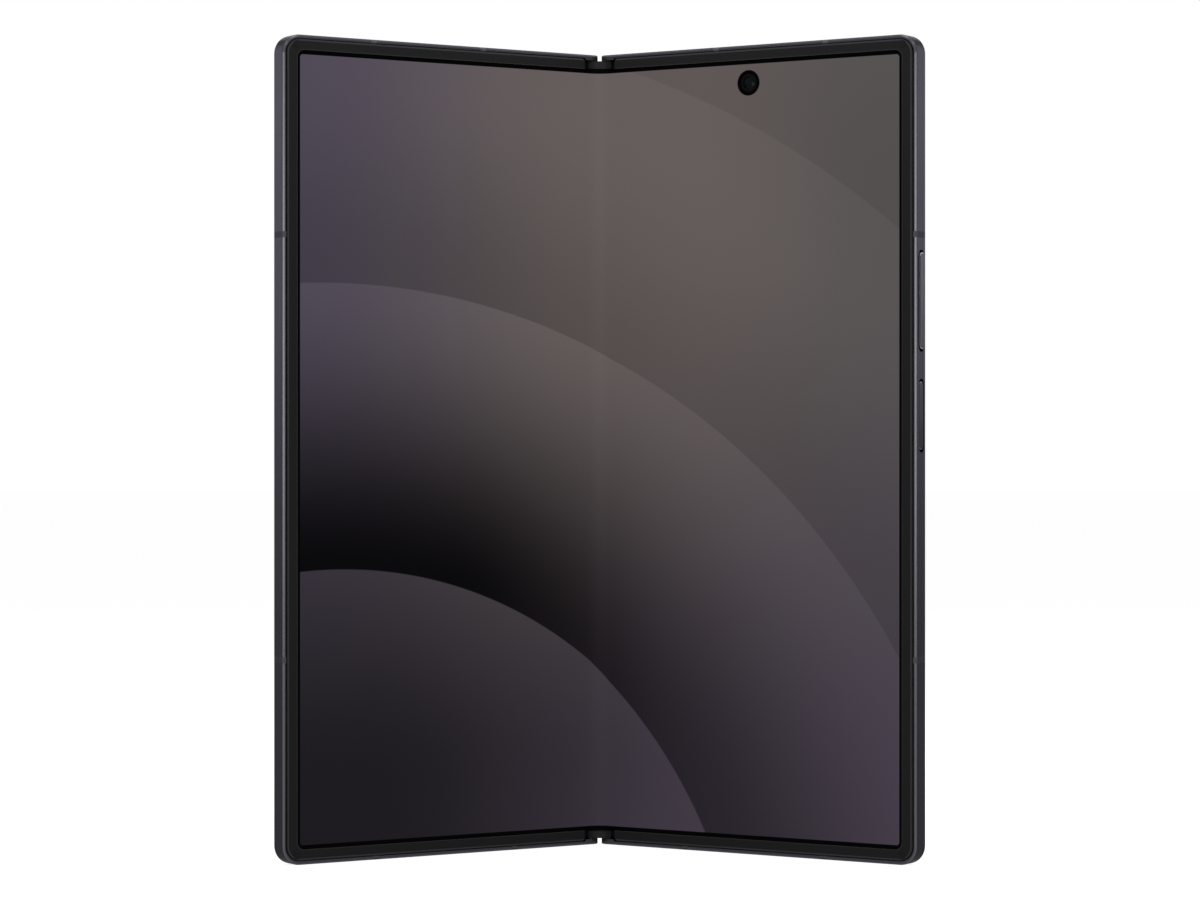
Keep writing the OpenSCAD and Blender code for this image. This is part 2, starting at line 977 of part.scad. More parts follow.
module sub_board() {
    color([0.1, 0.22, 0.16])
        on_leaf(-1) {
            difference() {
                inner_piece(board_l, parts_y, parts_y + board_t, 0.6);
                disc(cover_cam_x, cover_cam_z, cam_body / 2 + 0.4, 0, body_t);
            }
            for (i = [-1, 0, 1])
                inner_piece(
                    [board_l[0] + i * board_l[2] / 3, board_l[1] - 3, board_l[2] / 5, 8],
                    parts_y + board_t - eps, parts_y + 2 * board_t, 0.3
                );
        }
}

module main_board() {
    color([0.1, 0.22, 0.16])
        on_leaf(1)
            difference() {
                inner_piece(board_r, parts_y, parts_y + board_t, 0.6);
                inner_piece(
                    [inner_cam_x, body_h - inner_cam_drop, cam_body + 0.6, cam_body + 0.6], 0,
                    body_t, 0.5
                );
            }
}

// Drawn steel lids, open towards the board
module shield_cans() {
    base = parts_y + board_t;
    color([0.75, 0.75, 0.76])
        on_leaf(1)
            for (column = can_columns)
                for (row = can_rows)
                    difference() {
                        inner_piece(
                            area(column[0], column[1], row[0], row[1]), base, base + can_t, 0.8
                        );
                        inner_piece(
                            area(
                                column[0] + can_wall, column[1] - can_wall, row[0] + can_wall,
                                row[1] - can_wall
                            ), 0, base + can_t - can_wall, 0.6
                        );
                    }
}

// Panel of the cover display, bonded under its glass
module cover_display() {
    color([0.05, 0.05, 0.06])
        on_leaf(-1)
            difference() {
                slab(panel_y, glass_y)
                    round_rect(8, leaf_w - 3, 3, body_h - 3, 1.8);
                disc(cover_cam_x, cover_cam_z, cam_hole_r, 0, body_t);
            }
}

// Outline of a back glass, drawn in from its edge by inset
module glass_outline(inset) {
    leaf_outline(
        glass_start + fit + inset, leaf_w - rim_side - fit - inset, rim_side + fit + inset,
        body_h - rim_side - fit - inset, corner_r - rim_side - fit - inset, 0.7 - inset
    );
}

// A back glass with its outer edge ground off
module back_sheet(side) {
    on_leaf(side)
        difference() {
            union() {
                slab(glass_y, body_t - fit - glass_bevel)
                    glass_outline(0);
                slab(glass_y, body_t - fit)
                    glass_outline(glass_bevel);
            }
            children();
        }
}

module cover_glass() {
    color([0.06, 0.06, 0.07])
        back_sheet(-1);
}

module back_glass() {
    color([0.2, 0.2, 0.23])
        back_sheet(1) {
            slab(0, body_t + cut)
                translate([island_x, island_z])
                    rotate(90)
                        stadium(island_h - 3, island_w - 3);
            disc(flash_x, flash_z, 2.2, 0, body_t + cut);
            disc(flash_x, flash_z - rear_mic_drop, mic_r, 0, body_t + cut);
        }
}

module cover_camera() {
    color([0.08, 0.08, 0.09])
        on_leaf(-1) {
            disc(cover_cam_x, cover_cam_z, cam_body / 2 + 0.2, parts_y, panel_y - fit);
            disc(cover_cam_x, cover_cam_z, cam_hole_r - 0.1, panel_y - fit - eps, glass_y - 0.2);
        }
}

module cover_camera_lens() {
    color([0.02, 0.02, 0.04])
        on_leaf(-1)
            disc(cover_cam_x, cover_cam_z, cam_hole_r - 0.6, glass_y - 0.2, glass_y);
}

// Speaker box that fills the room behind the vents, from the rail inwards by height
module speaker(side, z_wall, height) {
    low = min(z_wall, z_wall + height);
    high = max(z_wall, z_wall + height);
    color([0.12, 0.12, 0.12])
        on_leaf(side)
            slab(parts_y, panel_y - 0.1)
                round_rect(vent_x - speaker_w / 2, vent_x + speaker_w / 2, low, high, 0.6);
}

module vibration_motor() {
    color([0.66, 0.66, 0.68])
        on_leaf(-1)
            inner_piece(motor, parts_y, panel_y - 0.1, 1);
}

// SIM reader: a low steel hood whose slot takes the tray
module sim_reader() {
    color([0.72, 0.72, 0.73])
        on_leaf(-1)
            difference() {
                box(sim_x - sim_w / 2 - 0.5, sim_x + sim_w / 2 + 0.5, parts_y, 3, 2.2, 2.2 + sim_l);
                box(
                    sim_x - sim_w / 2 - fit, sim_x + sim_w / 2 + fit, sim_y - sim_t / 2 - fit,
                    sim_y + sim_t / 2 + fit, 0, 2 + sim_l + fit
                );
            }
}

module sim_tray() {
    face = sim_w + 0.8;
    color([0.29, 0.29, 0.32])
        on_leaf(-1)
            difference() {
                union() {
                    rail_slot(sim_x, sim_y, face / 2 - sim_face_t / 2, sim_face_t / 2, 0, 1.2);
                    box(
                        sim_x - sim_w / 2, sim_x + sim_w / 2, sim_y - sim_t / 2,
                        sim_y + sim_t / 2, 1, 2 + sim_l
                    );
                }
                // bed of one card and the ejector pin hole
                box(
                    sim_x - sim_w / 2 + 1.35, sim_x + sim_w / 2 - 1.35, sim_y - sim_t / 2 + 0.25,
                    body_t, 3.2, 3.2 + 8.8
                );
                translate([sim_x + sim_w / 2 - 0.9, sim_y, -cut])
                    cylinder(r = 0.35, h = cut + 0.9);
            }
}

// USB-C socket: a stadium shell with the contact tongue in the middle
module usb_socket() {
    color([0.7, 0.7, 0.71])
        on_leaf(1) {
            difference() {
                rail_slot(usb_x, usb_y, (usb_w - usb_h) / 2, usb_h / 2 + usb_wall, 0.4, usb_depth + 0.9);
                rail_slot(usb_x, usb_y, (usb_w - usb_h) / 2, usb_h / 2, 0, usb_depth);
            }
            box(usb_x - 3.34, usb_x + 3.34, usb_y - 0.35, usb_y + 0.35, 1.2, usb_depth + 0.5);
        }
}

module charging_coil() {
    turns = 8;
    color([0.72, 0.45, 0.25])
        on_leaf(1)
            for (i = [0:turns - 1])
                difference() {
                    disc(battery_r[0], battery_r[1], coil_r - i * coil_step, coil_y, coil_y + 0.2);
                    disc(battery_r[0], battery_r[1], coil_r - i * coil_step - coil_wire, 0, body_t);
                }
}

module inner_camera() {
    x = inner_cam_x;
    z = body_h - inner_cam_drop;
    color([0.07, 0.07, 0.08])
        on_leaf(1) {
            inner_piece([x, z, cam_body, cam_body], parts_y, parts_back, 0.5);
            difference() {
                disc(x, z, cam_hole_r - 0.1, display_y + 0.1, parts_y + eps);
                disc(x, z, cam_hole_r - 0.6, 0, display_y + 0.35);
            }
        }
}

module inner_camera_lens() {
    color([0.03, 0.03, 0.06])
        on_leaf(1)
            disc(
                inner_cam_x, body_h - inner_cam_drop, cam_hole_r - 0.65, display_y + 0.15,
                display_y + 0.34
            );
}

// Island of the rear cameras: a rounded plate with one well for each lens
module camera_island() {
    front = body_t - fit;
    bevel = 0.35;
    color([0.22, 0.22, 0.25])
        on_leaf(1)
            difference() {
                union() {
                    slab(front, front + island_t - bevel)
                        translate([island_x, island_z])
                            rotate(90)
                                stadium(island_h, island_w);
                    slab(front, front + island_t)
                        translate([island_x, island_z])
                            rotate(90)
                                stadium(island_h - 2 * bevel, island_w - 2 * bevel);
                    slab(glass_y, front + eps)
                        translate([island_x, island_z])
                            rotate(90)
                                stadium(island_h - 3.2, island_w - 3.2);
                }
                for (z = lens_z)
                    disc(island_x, z, lens_r - lens_lip + 0.1, 0, front + island_t + cut);
            }
}

module lens_rings() {
    color([0.3, 0.3, 0.33])
        on_leaf(1)
            for (z = lens_z)
                difference() {
                    disc(island_x, z, lens_r, lens_base, lens_base + 0.5);
                    disc(island_x, z, lens_r - lens_lip, 0, lens_base + cut);
                }
}

module lens_glasses() {
    color([0.02, 0.02, 0.03])
        on_leaf(1)
            for (z = lens_z)
                disc(island_x, z, lens_r - lens_lip - fit, lens_base - 0.35, lens_base + 0.3);
}

// Camera bodies, each with a barrel that steps down to its front lens element
module rear_cameras() {
    color([0.06, 0.06, 0.07])
        on_leaf(1)
            for (z = lens_z)
                difference() {
                    union() {
                        inner_piece([island_x, z, camera_s, camera_s], parts_y, parts_back, 0.8);
                        disc(island_x, z, barrel_r, parts_back - eps, barrel_top);
                    }
                    for (step = well_steps)
                        disc(island_x, z, barrel_r - step[0], barrel_top - step[1], body_t + far);
                }
}

// Front elements at the foot of the barrels, each a disc with a coned front
module lens_elements() {
    color([0.05, 0.04, 0.08])
        on_leaf(1)
            for (z = lens_z)
                translate([island_x, barrel_top - well_steps[1][1], z])
                    rotate([-90, 0, 0]) {
                        cylinder(r = element_r, h = element_edge);
                        translate([0, 0, element_edge])
                            cylinder(r1 = element_r, r2 = element_r / 2, h = element_t - element_edge);
                    }
}

module flash() {
    color([0.9, 0.88, 0.75])
        on_leaf(1) {
            disc(flash_x, flash_z, 2.1, glass_y, body_t - fit);
            disc(flash_x, flash_z, 1.5, parts_back - 0.4, glass_y + eps);
        }
}

// Bracket behind the keys, with a dome under each stem and a post under the rocker's bead
module key_switches() {
    wall = leaf_w - rail_w;
    domes = [volume_z - rocker_stem, volume_z + rocker_stem, side_z];
    plates = [[volume_z, rocker_stem + 4], [side_z, 4]];
    color([0.75, 0.7, 0.55])
        on_leaf(1) {
            for (p = plates)
                box(switch_x, switch_x + switch_t, 1.4, 3.1, p[0] - p[1], p[0] + p[1]);
            for (z = domes)
                translate([switch_x + switch_t - eps, key_y, z])
                    rotate([0, 90, 0])
                        cylinder(r = 0.8, h = 0.6);
            box(
                switch_x + switch_t - eps, wall - 0.5 - bead_r - fit, key_y - 0.6, key_y + 0.6,
                volume_z - 0.5, volume_z + 0.5
            );
        }
}

// Key cap with round ends and the stems that reach its switches
module key_cap(z, length, proud, stems) {
    wall = leaf_w - rail_w;
    translate([wall - 0.5, key_y, z])
        rotate([0, 90, 0])
            linear_extrude(leaf_w - wall + 0.5 + proud - key_bevel)
                stadium(length, key_w);
    translate([wall, key_y, z])
        rotate([0, 90, 0])
            linear_extrude(leaf_w - wall + proud)
                stadium(length - 2 * key_bevel, key_w - 2 * key_bevel);
    for (dz = stems)
        translate([wall - 0.5 - stem_l, key_y, z + dz])
            rotate([0, 90, 0])
                cylinder(r = stem_r, h = stem_l + 0.2);
}

// The volume key rocks on a round bead in the middle of its inner side
module volume_key() {
    color([0.36, 0.36, 0.4])
        on_leaf(1) {
            key_cap(volume_z, volume_l, volume_proud, [-rocker_stem, rocker_stem]);
            disc(leaf_w - rail_w - 0.5, volume_z, bead_r, key_y - 0.7, key_y + 0.7);
        }
}

module side_key() {
    color([0.32, 0.32, 0.35])
        on_leaf(1)
            key_cap(side_z, side_l, 0.02, [0]);
}

hinge_cover();
hinge_end_caps();
hinge_blocks();
hinge_screws();
idler_pins();
friction_washers();
display_fold();
idler_gear(-1);  // idler_gear_left
idler_gear(1);  // idler_gear_right
sync_arm(-1);  // sync_arm_left
sync_arm(1);  // sync_arm_right
frame_left();
frame_right();
bezel(-1);  // bezel_left
bezel(1);  // bezel_right
bezel_bumpers(-1);  // bezel_bumpers_left
bezel_bumpers(1);  // bezel_bumpers_right
display_panel(-1, false);  // display_left
display_panel(1, true);  // display_right
antenna_windows(-1);  // antenna_windows_left
antenna_windows(1);  // antenna_windows_right
rotors(-1);  // rotors_left
rotors(1);  // rotors_right
rotor_screws(-1);  // rotor_screws_left
rotor_screws(1);  // rotor_screws_right
battery(-1, battery_l, panel_y - 0.1);  // battery_left
battery(1, battery_r, coil_y - 0.05);  // battery_right
sub_board();
main_board();
shield_cans();
cover_display();
cover_glass();
cover_camera();
cover_camera_lens();
speaker(-1, body_h - rail_w - 0.3, -earpiece_h);  // earpiece
speaker(1, rail_w + 0.3, speaker_h);  // loudspeaker
vibration_motor();
sim_reader();
sim_tray();
usb_socket();
charging_coil();
inner_camera();
inner_camera_lens();
back_glass();
camera_island();
lens_rings();
lens_glasses();
lens_elements();
rear_cameras();
flash();
key_switches();
volume_key();
side_key();
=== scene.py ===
import json
import math

import bmesh
import bpy
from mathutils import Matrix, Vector


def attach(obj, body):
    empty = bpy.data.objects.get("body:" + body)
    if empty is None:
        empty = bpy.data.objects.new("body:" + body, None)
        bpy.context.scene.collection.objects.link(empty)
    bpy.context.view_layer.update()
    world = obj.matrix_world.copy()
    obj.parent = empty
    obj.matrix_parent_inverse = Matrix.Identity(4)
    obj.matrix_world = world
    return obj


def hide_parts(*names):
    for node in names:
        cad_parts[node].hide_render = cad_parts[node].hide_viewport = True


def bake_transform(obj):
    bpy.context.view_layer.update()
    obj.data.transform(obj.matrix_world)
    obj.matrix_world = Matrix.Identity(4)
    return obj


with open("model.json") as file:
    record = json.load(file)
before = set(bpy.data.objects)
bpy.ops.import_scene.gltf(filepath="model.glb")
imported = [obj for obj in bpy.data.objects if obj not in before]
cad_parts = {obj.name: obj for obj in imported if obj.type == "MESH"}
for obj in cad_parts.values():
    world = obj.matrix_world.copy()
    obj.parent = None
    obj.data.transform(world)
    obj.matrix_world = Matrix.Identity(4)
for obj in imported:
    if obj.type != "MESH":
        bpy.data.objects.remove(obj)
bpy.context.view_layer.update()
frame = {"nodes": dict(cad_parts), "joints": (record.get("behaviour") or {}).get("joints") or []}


# ---- Camera
# The photograph is taken level with the middle of the phone, square to its hinge and from
# about 0.7 m away, so both leaves come forward with a little perspective.
def add(name, data):
    """A new object in the scene with that mesh, lamp or camera."""
    made = bpy.data.objects.new(name, data)
    bpy.context.scene.collection.objects.link(made)
    return made


camera = add("camera", bpy.data.cameras.new("camera"))
bpy.context.scene.camera = camera
camera.location = (0, -0.6953, 0.0792)
camera.rotation_euler = (math.radians(90), 0, 0)
camera.data.sensor_width = 36
camera.data.lens = 106.44
camera.data.shift_x = 0.000275
camera.data.shift_y = -0.00025
camera.data.clip_start = 0.01
bpy.context.scene.view_settings.view_transform = "Standard"


# ---- Room
# A white room as in a product photograph: the sky and the floor show white to the camera, in
# reflections and through glass, and light the phone at a plain level. The floor keeps its shadow.
def seen_directly(tree):
    """1 for a ray that shows the room to the camera, in a reflection or through glass."""
    path = tree.nodes.new("ShaderNodeLightPath")
    total = path.outputs["Is Camera Ray"]
    for name in ("Is Glossy Ray", "Is Transmission Ray"):
        larger = tree.nodes.new("ShaderNodeMath")
        larger.operation = "MAXIMUM"
        tree.links.new(total, larger.inputs[0])
        tree.links.new(path.outputs[name], larger.inputs[1])
        total = larger.outputs[0]
    return total


def light_room(diffuse_level):
    """A white sky whose light on matt surfaces has its own level."""
    world = bpy.data.worlds.new("white_room")
    bpy.context.scene.world = world
    world.use_nodes = True
    tree = world.node_tree
    shown = tree.nodes["Background"]
    shown.inputs["Strength"].default_value = 1
    shown.inputs["Color"].default_value = (1, 1, 1, 1)
    lighting = tree.nodes.new("ShaderNodeBackground")
    lighting.inputs["Strength"].default_value = diffuse_level
    lighting.inputs["Color"].default_value = (1, 1, 1, 1)
    mix = tree.nodes.new("ShaderNodeMixShader")
    tree.links.new(seen_directly(tree), mix.inputs[0])
    tree.links.new(lighting.outputs[0], mix.inputs[1])
    tree.links.new(shown.outputs[0], mix.inputs[2])
    tree.links.new(mix.outputs[0], tree.nodes["World Output"].inputs["Surface"])


def lay_floor(half, glow):
    """A square floor, half metres each way, that takes shadows and looks nearly white."""
    mesh = bpy.data.meshes.new("floor")
    mesh.from_pydata(
        [(-half, -half, 0), (half, -half, 0), (half, half, 0), (-half, half, 0)],
        [], [(0, 1, 2, 3)])
    floor = add("floor", mesh)
    paint = bpy.data.materials.new("floor_paint")
    paint.use_nodes = True
    tree = paint.node_tree
    lit = tree.nodes["Principled BSDF"]
    lit.inputs["Base Color"].default_value = (0.3, 0.3, 0.3, 1)
    lit.inputs["Roughness"].default_value = 0.9
    lit.inputs["Specular IOR Level"].default_value = 0
    own = tree.nodes.new("ShaderNodeEmission")
    tree.links.new(seen_directly(tree), own.inputs["Strength"])
    own.inputs["Color"].default_value = (glow, glow, glow, 1)
    both = tree.nodes.new("ShaderNodeAddShader")
    tree.links.new(lit.outputs[0], both.inputs[0])
    tree.links.new(own.outputs[0], both.inputs[1])
    tree.links.new(both.outputs[0], tree.nodes["Material Output"].inputs["Surface"])
    mesh.materials.append(paint)


def softbox(name, place, target, width, height, radiance):
    """A soft rectangular lamp that looks at target; radiance 1 is the brightness of white."""
    lamp = add(name, bpy.data.lights.new(name, "AREA"))
    lamp.data.shape = "RECTANGLE"
    lamp.data.size = width
    lamp.data.size_y = height
    lamp.data.energy = radiance * math.pi * width * height
    lamp.location = place
    gaze = Vector(target) - Vector(place)
    lamp.rotation_euler = gaze.to_track_quat("-Z", "Y").to_euler()
    lamp.visible_camera = False


light_room(diffuse_level=0.42)
lay_floor(half=6, glow=0.86)
softbox("overhead_softbox", (0, -0.32, 0.46), (0, 0, 0.12), 0.5, 0.24, 3.0)
softbox("top_softbox", (0, 0.05, 0.6), (0, 0, 0.158), 0.6, 0.18, 3.0)
softbox("rear_softbox", (0, 0.42, 0.5), (0, 0, 0.1), 0.6, 0.3, 2.0)
for side in (-1, 1):
    softbox(f"front_softbox_{side}", (side * 0.42, -0.56, 0.14), (0, 0, 0.1), 0.2, 0.18, 4.5)
    softbox(f"side_softbox_{side}", (side * 0.46, 0.18, 0.24), (0, 0, 0.13), 0.22, 0.3, 4.6)


# ---- Frames of the two leaves
# Each leaf is built on a milled aluminium frame, blasted with fine glass beads and anodised
# dark grey, with a cut and polished chamfer round the front and small worn spots on its edges.
# The chamfer carries a painted highlight. Painted shade darkens a line behind the chamfer, the
# seat of the bezel and the end faces beside the hinge slit.
AXIS_X, AXIS_Y = 1.3, 1.05
LEAF_W, BODY_H = 71.7, 158.4
CORNER_R = 3.6
RIM_SIDE, RIM_END = 0.55, 0.7
CHAMFER_W, CHAMFER_DEPTH = 0.42, 0.5
SEAT_START, SEAT_DEPTH = 3.75, 0.68
SIDES = {-1: "left", 1: "right"}
DARK_METAL_EDGE = (0.48, 0.48, 0.49, 1)
fold_joint = next(j for j in frame["joints"] if j["name"] == "left_fold")
FOLD = math.radians(-fold_joint["range_deg"][0])
SPINE_Y = fold_joint["pos_m"][1] * 1000 - AXIS_Y


def leaf_point(side, x, y, z):
    """Place in metres of a point of a leaf that is given in mm as if the leaf lay flat."""
    out = AXIS_X + (x - AXIS_X) * math.cos(FOLD) + (y - AXIS_Y) * math.sin(FOLD)
    deep = AXIS_Y - (x - AXIS_X) * math.sin(FOLD) + (y - AXIS_Y) * math.cos(FOLD)
    return Vector((side * out, SPINE_Y + deep, z)) / 1000


def tint(red, green, blue):
    """A colour as a screen shows it, 0 to 255, turned into the linear one that nodes take."""
    levels = [c / 255 for c in (red, green, blue)]
    linear = [c / 12.92 if c <= 0.04045 else ((c + 0.055) / 1.055) ** 2.4 for c in levels]
    return (*linear, 1)


class Finish:
    """A surface finish in nodes. Its coordinates are the object's own, in mm."""

    def __init__(self, name, colour, rough, metal=0.0, gloss=0.5):
        self.material = bpy.data.materials.new(name)
        self.material.use_nodes = True
        self.tree = self.material.node_tree
        self.shader = self.tree.nodes["Principled BSDF"]
        self.fixed("Base Color", colour)
        self.fixed("Roughness", rough)
        self.fixed("Metallic", metal)
        self.fixed("Specular IOR Level", gloss)
        self.place = self.spine_place()

    def fixed(self, name, value):
        self.shader.inputs[name].default_value = value

    def node(self, kind, **settings):
        made = self.tree.nodes.new(kind)
        for key, value in settings.items():
            setattr(made, key, value)
        return made

    def feed(self, socket, value):
        if isinstance(value, bpy.types.NodeSocket):
            self.tree.links.new(value, socket)
        else:
            socket.default_value = value

    def spine_place(self):
        """Coordinates in mm, as the standing phone has them."""
        coordinates = self.node("ShaderNodeTexCoord")
        mapping = self.node("ShaderNodeMapping")
        mapping.inputs["Scale"].default_value = (1000, 1000, 1000)
        self.tree.links.new(coordinates.outputs["Object"], mapping.inputs["Vector"])
        return mapping.outputs[0]

    def leaf_place(self, side):
        """Coordinates in mm of one leaf as if it lay flat."""
        coordinates = self.node("ShaderNodeTexCoord")
        mapping = self.node("ShaderNodeMapping", vector_type="TEXTURE")
        mapping.inputs["Location"].default_value = leaf_point(side, 0, 0, 0)
        mapping.inputs["Rotation"].default_value = (0, 0, -side * FOLD)
        mapping.inputs["Scale"].default_value = (side * 0.001, 0.001, 0.001)
        self.tree.links.new(coordinates.outputs["Object"], mapping.inputs["Vector"])
        return mapping.outputs[0]

    def math(self, operation, *values, clamp=False):
        step = self.node("ShaderNodeMath", operation=operation, use_clamp=clamp)
        for socket, value in zip(step.inputs, values):
            self.feed(socket, value)
        return step.outputs[0]

    def product(self, first, *others):
        for value in others:
            first = self.math("MULTIPLY", first, value)
        return first

    def vector(self, operation, *values):
        step = self.node("ShaderNodeVectorMath", operation=operation)
        for socket, value in zip(step.inputs, values):
            self.feed(socket, value)
        return step.outputs["Value" if operation == "LENGTH" else "Vector"]

    def parts(self, vector):
        split = self.node("ShaderNodeSeparateXYZ")
        self.feed(split.inputs[0], vector)
        return split.outputs

    def joined(self, x=0.0, y=0.0, z=0.0):
        join = self.node("ShaderNodeCombineXYZ")
        for socket, value in zip(join.inputs, (x, y, z)):
            self.feed(socket, value)
        return join.outputs[0]

    def away(self, x, z, centre_x, centre_z):
        """Distance in mm from a centre, seen square to the leaf."""
        return self.vector("LENGTH", self.joined(
            self.math("SUBTRACT", x, centre_x), self.math("SUBTRACT", z, centre_z)))

    def noise(self, scale, detail=2.0, place=None, stretch=None):
        """Soft noise, 0 to 1, with about scale spots for each mm."""
        place = place or self.place
        if stretch:
            place = self.vector("MULTIPLY", place, stretch)
        spots = self.node("ShaderNodeTexNoise")
        self.feed(spots.inputs["Vector"], place)
        spots.inputs["Scale"].default_value = scale
        spots.inputs["Detail"].default_value = detail
        return spots.outputs["Fac"]

    def between(self, value, start, end, low=0.0, high=1.0):
        """low up to start, high from end on, and smooth from one to the other."""
        ramp = self.node("ShaderNodeMapRange", interpolation_type="SMOOTHSTEP")
        for socket, given in zip(ramp.inputs, (value, start, end, low, high)):
            self.feed(socket, given)
        return ramp.outputs[0]

    def blend_colour(self, share, first, second, kind="MIX"):
        mix = self.node("ShaderNodeMix", data_type="RGBA", blend_type=kind)
        for name, value in (("Factor", share), ("A", first), ("B", second)):
            sockets = [s for s in mix.inputs if s.name == name and s.enabled]
            self.feed(sockets[0], value)
        return [s for s in mix.outputs if s.enabled][0]

    def colour(self, value):
        self.feed(self.shader.inputs["Base Color"], value)

    def mottle(self, share, low, high):
        """A colour that drifts between two screen colours as share goes from 0 to 1."""
        self.colour(self.blend_colour(share, tint(*low), tint(*high)))

    def rough(self, value):
        self.feed(self.shader.inputs["Roughness"], value)

    def satin(self, noise, low, high):
        """Roughness between low and high; most of a noise lies from 0.3 to 0.7."""
        self.rough(self.between(noise, 0.3, 0.7, low, high))

    def bump(self, height, depth, strength=1.0):
        """Relief whose full height is depth, in mm."""
        relief = self.node("ShaderNodeBump")
        relief.inputs["Strength"].default_value = strength
        relief.inputs["Distance"].default_value = depth / 1000
        self.feed(relief.inputs["Height"], height)
        if self.shader.inputs["Normal"].links:
            self.feed(relief.inputs["Normal"], self.shader.inputs["Normal"].links[0].from_socket)
        self.tree.links.new(relief.outputs[0], self.shader.inputs["Normal"])


def dress(finish, *nodes):
    """Gives CAD nodes a finish."""
    for name in nodes:
        mesh = frame["nodes"][name].data
        mesh.materials.clear()
        mesh.materials.append(finish.material)


def rounded_distance(finish, x, z, half_x, half_z, r):
    """Distance in mm outside a rounded rectangle about 0, 0, and below 0 inside it."""
    over_x = finish.math("SUBTRACT", finish.math("ABSOLUTE", x), half_x - r)
    over_z = finish.math("SUBTRACT", finish.math("ABSOLUTE", z), half_z - r)
    beyond = finish.vector("MAXIMUM", finish.joined(over_x, over_z), (0, 0, 0))
    corner = finish.vector("LENGTH", beyond)
    inside = finish.math("MINIMUM", finish.math("MAXIMUM", over_x, over_z), 0.0)
    return finish.math("SUBTRACT", finish.math("ADD", corner, inside), r)


def anodised_finish(side, rim=True):
    """The frame's metal; with rim, also its polished chamfer with a painted highlight, and painted
    shade behind the chamfer, in the bezel's seat and beside the hinge slit.
    """
    blasted = Finish(f"anodised_metal_{SIDES[side]}{'' if rim else '_plain'}",
                     tint(46, 45, 50), 0.4, metal=1, gloss=0.02)
    blasted.fixed("Specular Tint", DARK_METAL_EDGE)
    place = blasted.leaf_place(side)
    x, y, z = blasted.parts(place)
    cloud = blasted.noise(0.05, 3, place)
    colour = blasted.blend_colour(cloud, tint(41, 40, 44), tint(48, 47, 51))
    grain = blasted.noise(9, 2, place)
    rough = blasted.between(grain, 0.3, 0.7, 0.34, 0.42)
    if rim:
        from_middle = blasted.math("SUBTRACT", z, BODY_H / 2)
        outside = rounded_distance(blasted, x, from_middle, LEAF_W, BODY_H / 2, CORNER_R)
        depth = blasted.math("MULTIPLY", outside, -1.0)
        # Painted highlight: the chamfer is painted lighter as polished metal, brightest along its
        # middle where a rounded edge would catch the lamps.
        front = blasted.between(y, CHAMFER_DEPTH - 0.03, CHAMFER_DEPTH + 0.02, 1, 0)
        crest = blasted.product(
            blasted.between(depth, 0.0, 0.16), blasted.between(depth, 0.2, CHAMFER_W, 1, 0))
        polish_and_highlight = blasted.product(front, blasted.math("MULTIPLY_ADD", crest, 0.75, 0.25))
        colour = blasted.blend_colour(polish_and_highlight, colour, tint(78, 77, 82))
        rough = blasted.math("SUBTRACT", rough, blasted.product(polish_and_highlight, 0.16))
        # Painted shade: a thin dark line on the side wall just behind the chamfer.
        shoulder = blasted.product(
            blasted.between(y, CHAMFER_DEPTH - 0.04, CHAMFER_DEPTH + 0.04),
            blasted.between(y, 0.6, 0.72, 1, 0), 0.55)
        colour = blasted.blend_colour(shoulder, colour, tint(18, 18, 20))
        # Painted shade: the seat of the bezel and the inner edge of the rim are painted near
        # black, matt and not metal, as the shade of the gap round the bezel.
        seat = rounded_distance(
            blasted, x, from_middle, LEAF_W - RIM_SIDE + 0.12, BODY_H / 2 - RIM_END - 0.03,
            CORNER_R - RIM_SIDE)
        painted_gap_shade = blasted.product(
            blasted.between(seat, -0.01, 0.01, 1, 0),
            blasted.between(x, SEAT_START - 0.05, SEAT_START + 0.05),
            blasted.between(y, SEAT_DEPTH - 0.02, SEAT_DEPTH + 0.02, 1, 0))
        # Painted shade: the frame's end faces next to the hinge slit are painted near black.
        slit = blasted.between(x, 0.62, 0.9, 1, 0)
        dark = blasted.math("MAXIMUM", painted_gap_shade, slit)
        colour = blasted.blend_colour(dark, colour, tint(8, 8, 9))
        metal = blasted.math("SUBTRACT", 1.0, painted_gap_shade)
        blasted.feed(blasted.shader.inputs["Metallic"], metal)
        rough = blasted.math("MULTIPLY_ADD", painted_gap_shade, 0.4, rough)
    wear = blasted.product(blasted.between(blasted.noise(0.9, 4, place), 0.7, 0.78), 0.15)
    blasted.colour(blasted.blend_colour(wear, colour, tint(90, 88, 94)))
    blasted.rough(rough)
    blasted.bump(grain, 0.006, 0.35)
    return blasted


for side, word in SIDES.items():
    dress(anodised_finish(side), f"frame_{word}")


# ---- Antenna windows
# Narrow breaks in the metal frame, filled with glass-filled resin in the frame's colour so that
# the aerials can work; they are milled flush and matt, with a painted highlight where the chamfer
# crosses them.
for side, word in SIDES.items():
    resin = Finish(f"antenna_resin_{word}", tint(52, 51, 56), 0.6, gloss=0.03)
    leaf = resin.leaf_place(side)
    fibres = resin.noise(2.2, 3, resin.vector("MULTIPLY", leaf, (1, 1, 0.2)))
    milled = resin.blend_colour(fibres, tint(40, 39, 44), tint(47, 46, 51))
    # Painted highlight: the resin is painted lighter where the chamfer crosses it.
    painted_chamfer_highlight = resin.between(
        resin.parts(leaf)[1], CHAMFER_DEPTH - 0.03, CHAMFER_DEPTH + 0.02, 0.8, 0)
    resin.colour(resin.blend_colour(painted_chamfer_highlight, milled, tint(88, 87, 92)))
    resin.bump(fibres, 0.004, 0.3)
    dress(resin, f"antenna_windows_{word}")


# ---- Bezels and their bumpers
# A thin U of black moulded polymer is bonded round three sides of each half of the display.
# Four small soft dots near its corners keep the halves apart when the phone is shut.
BEZEL_OUT_X, BEZEL_OUT_Z = 70.95, 0.84
BEZEL_IN_X, BEZEL_IN_Z = 68.7, 2.93
BEZEL_OUT_R, BEZEL_IN_R = 2.85, 1.5


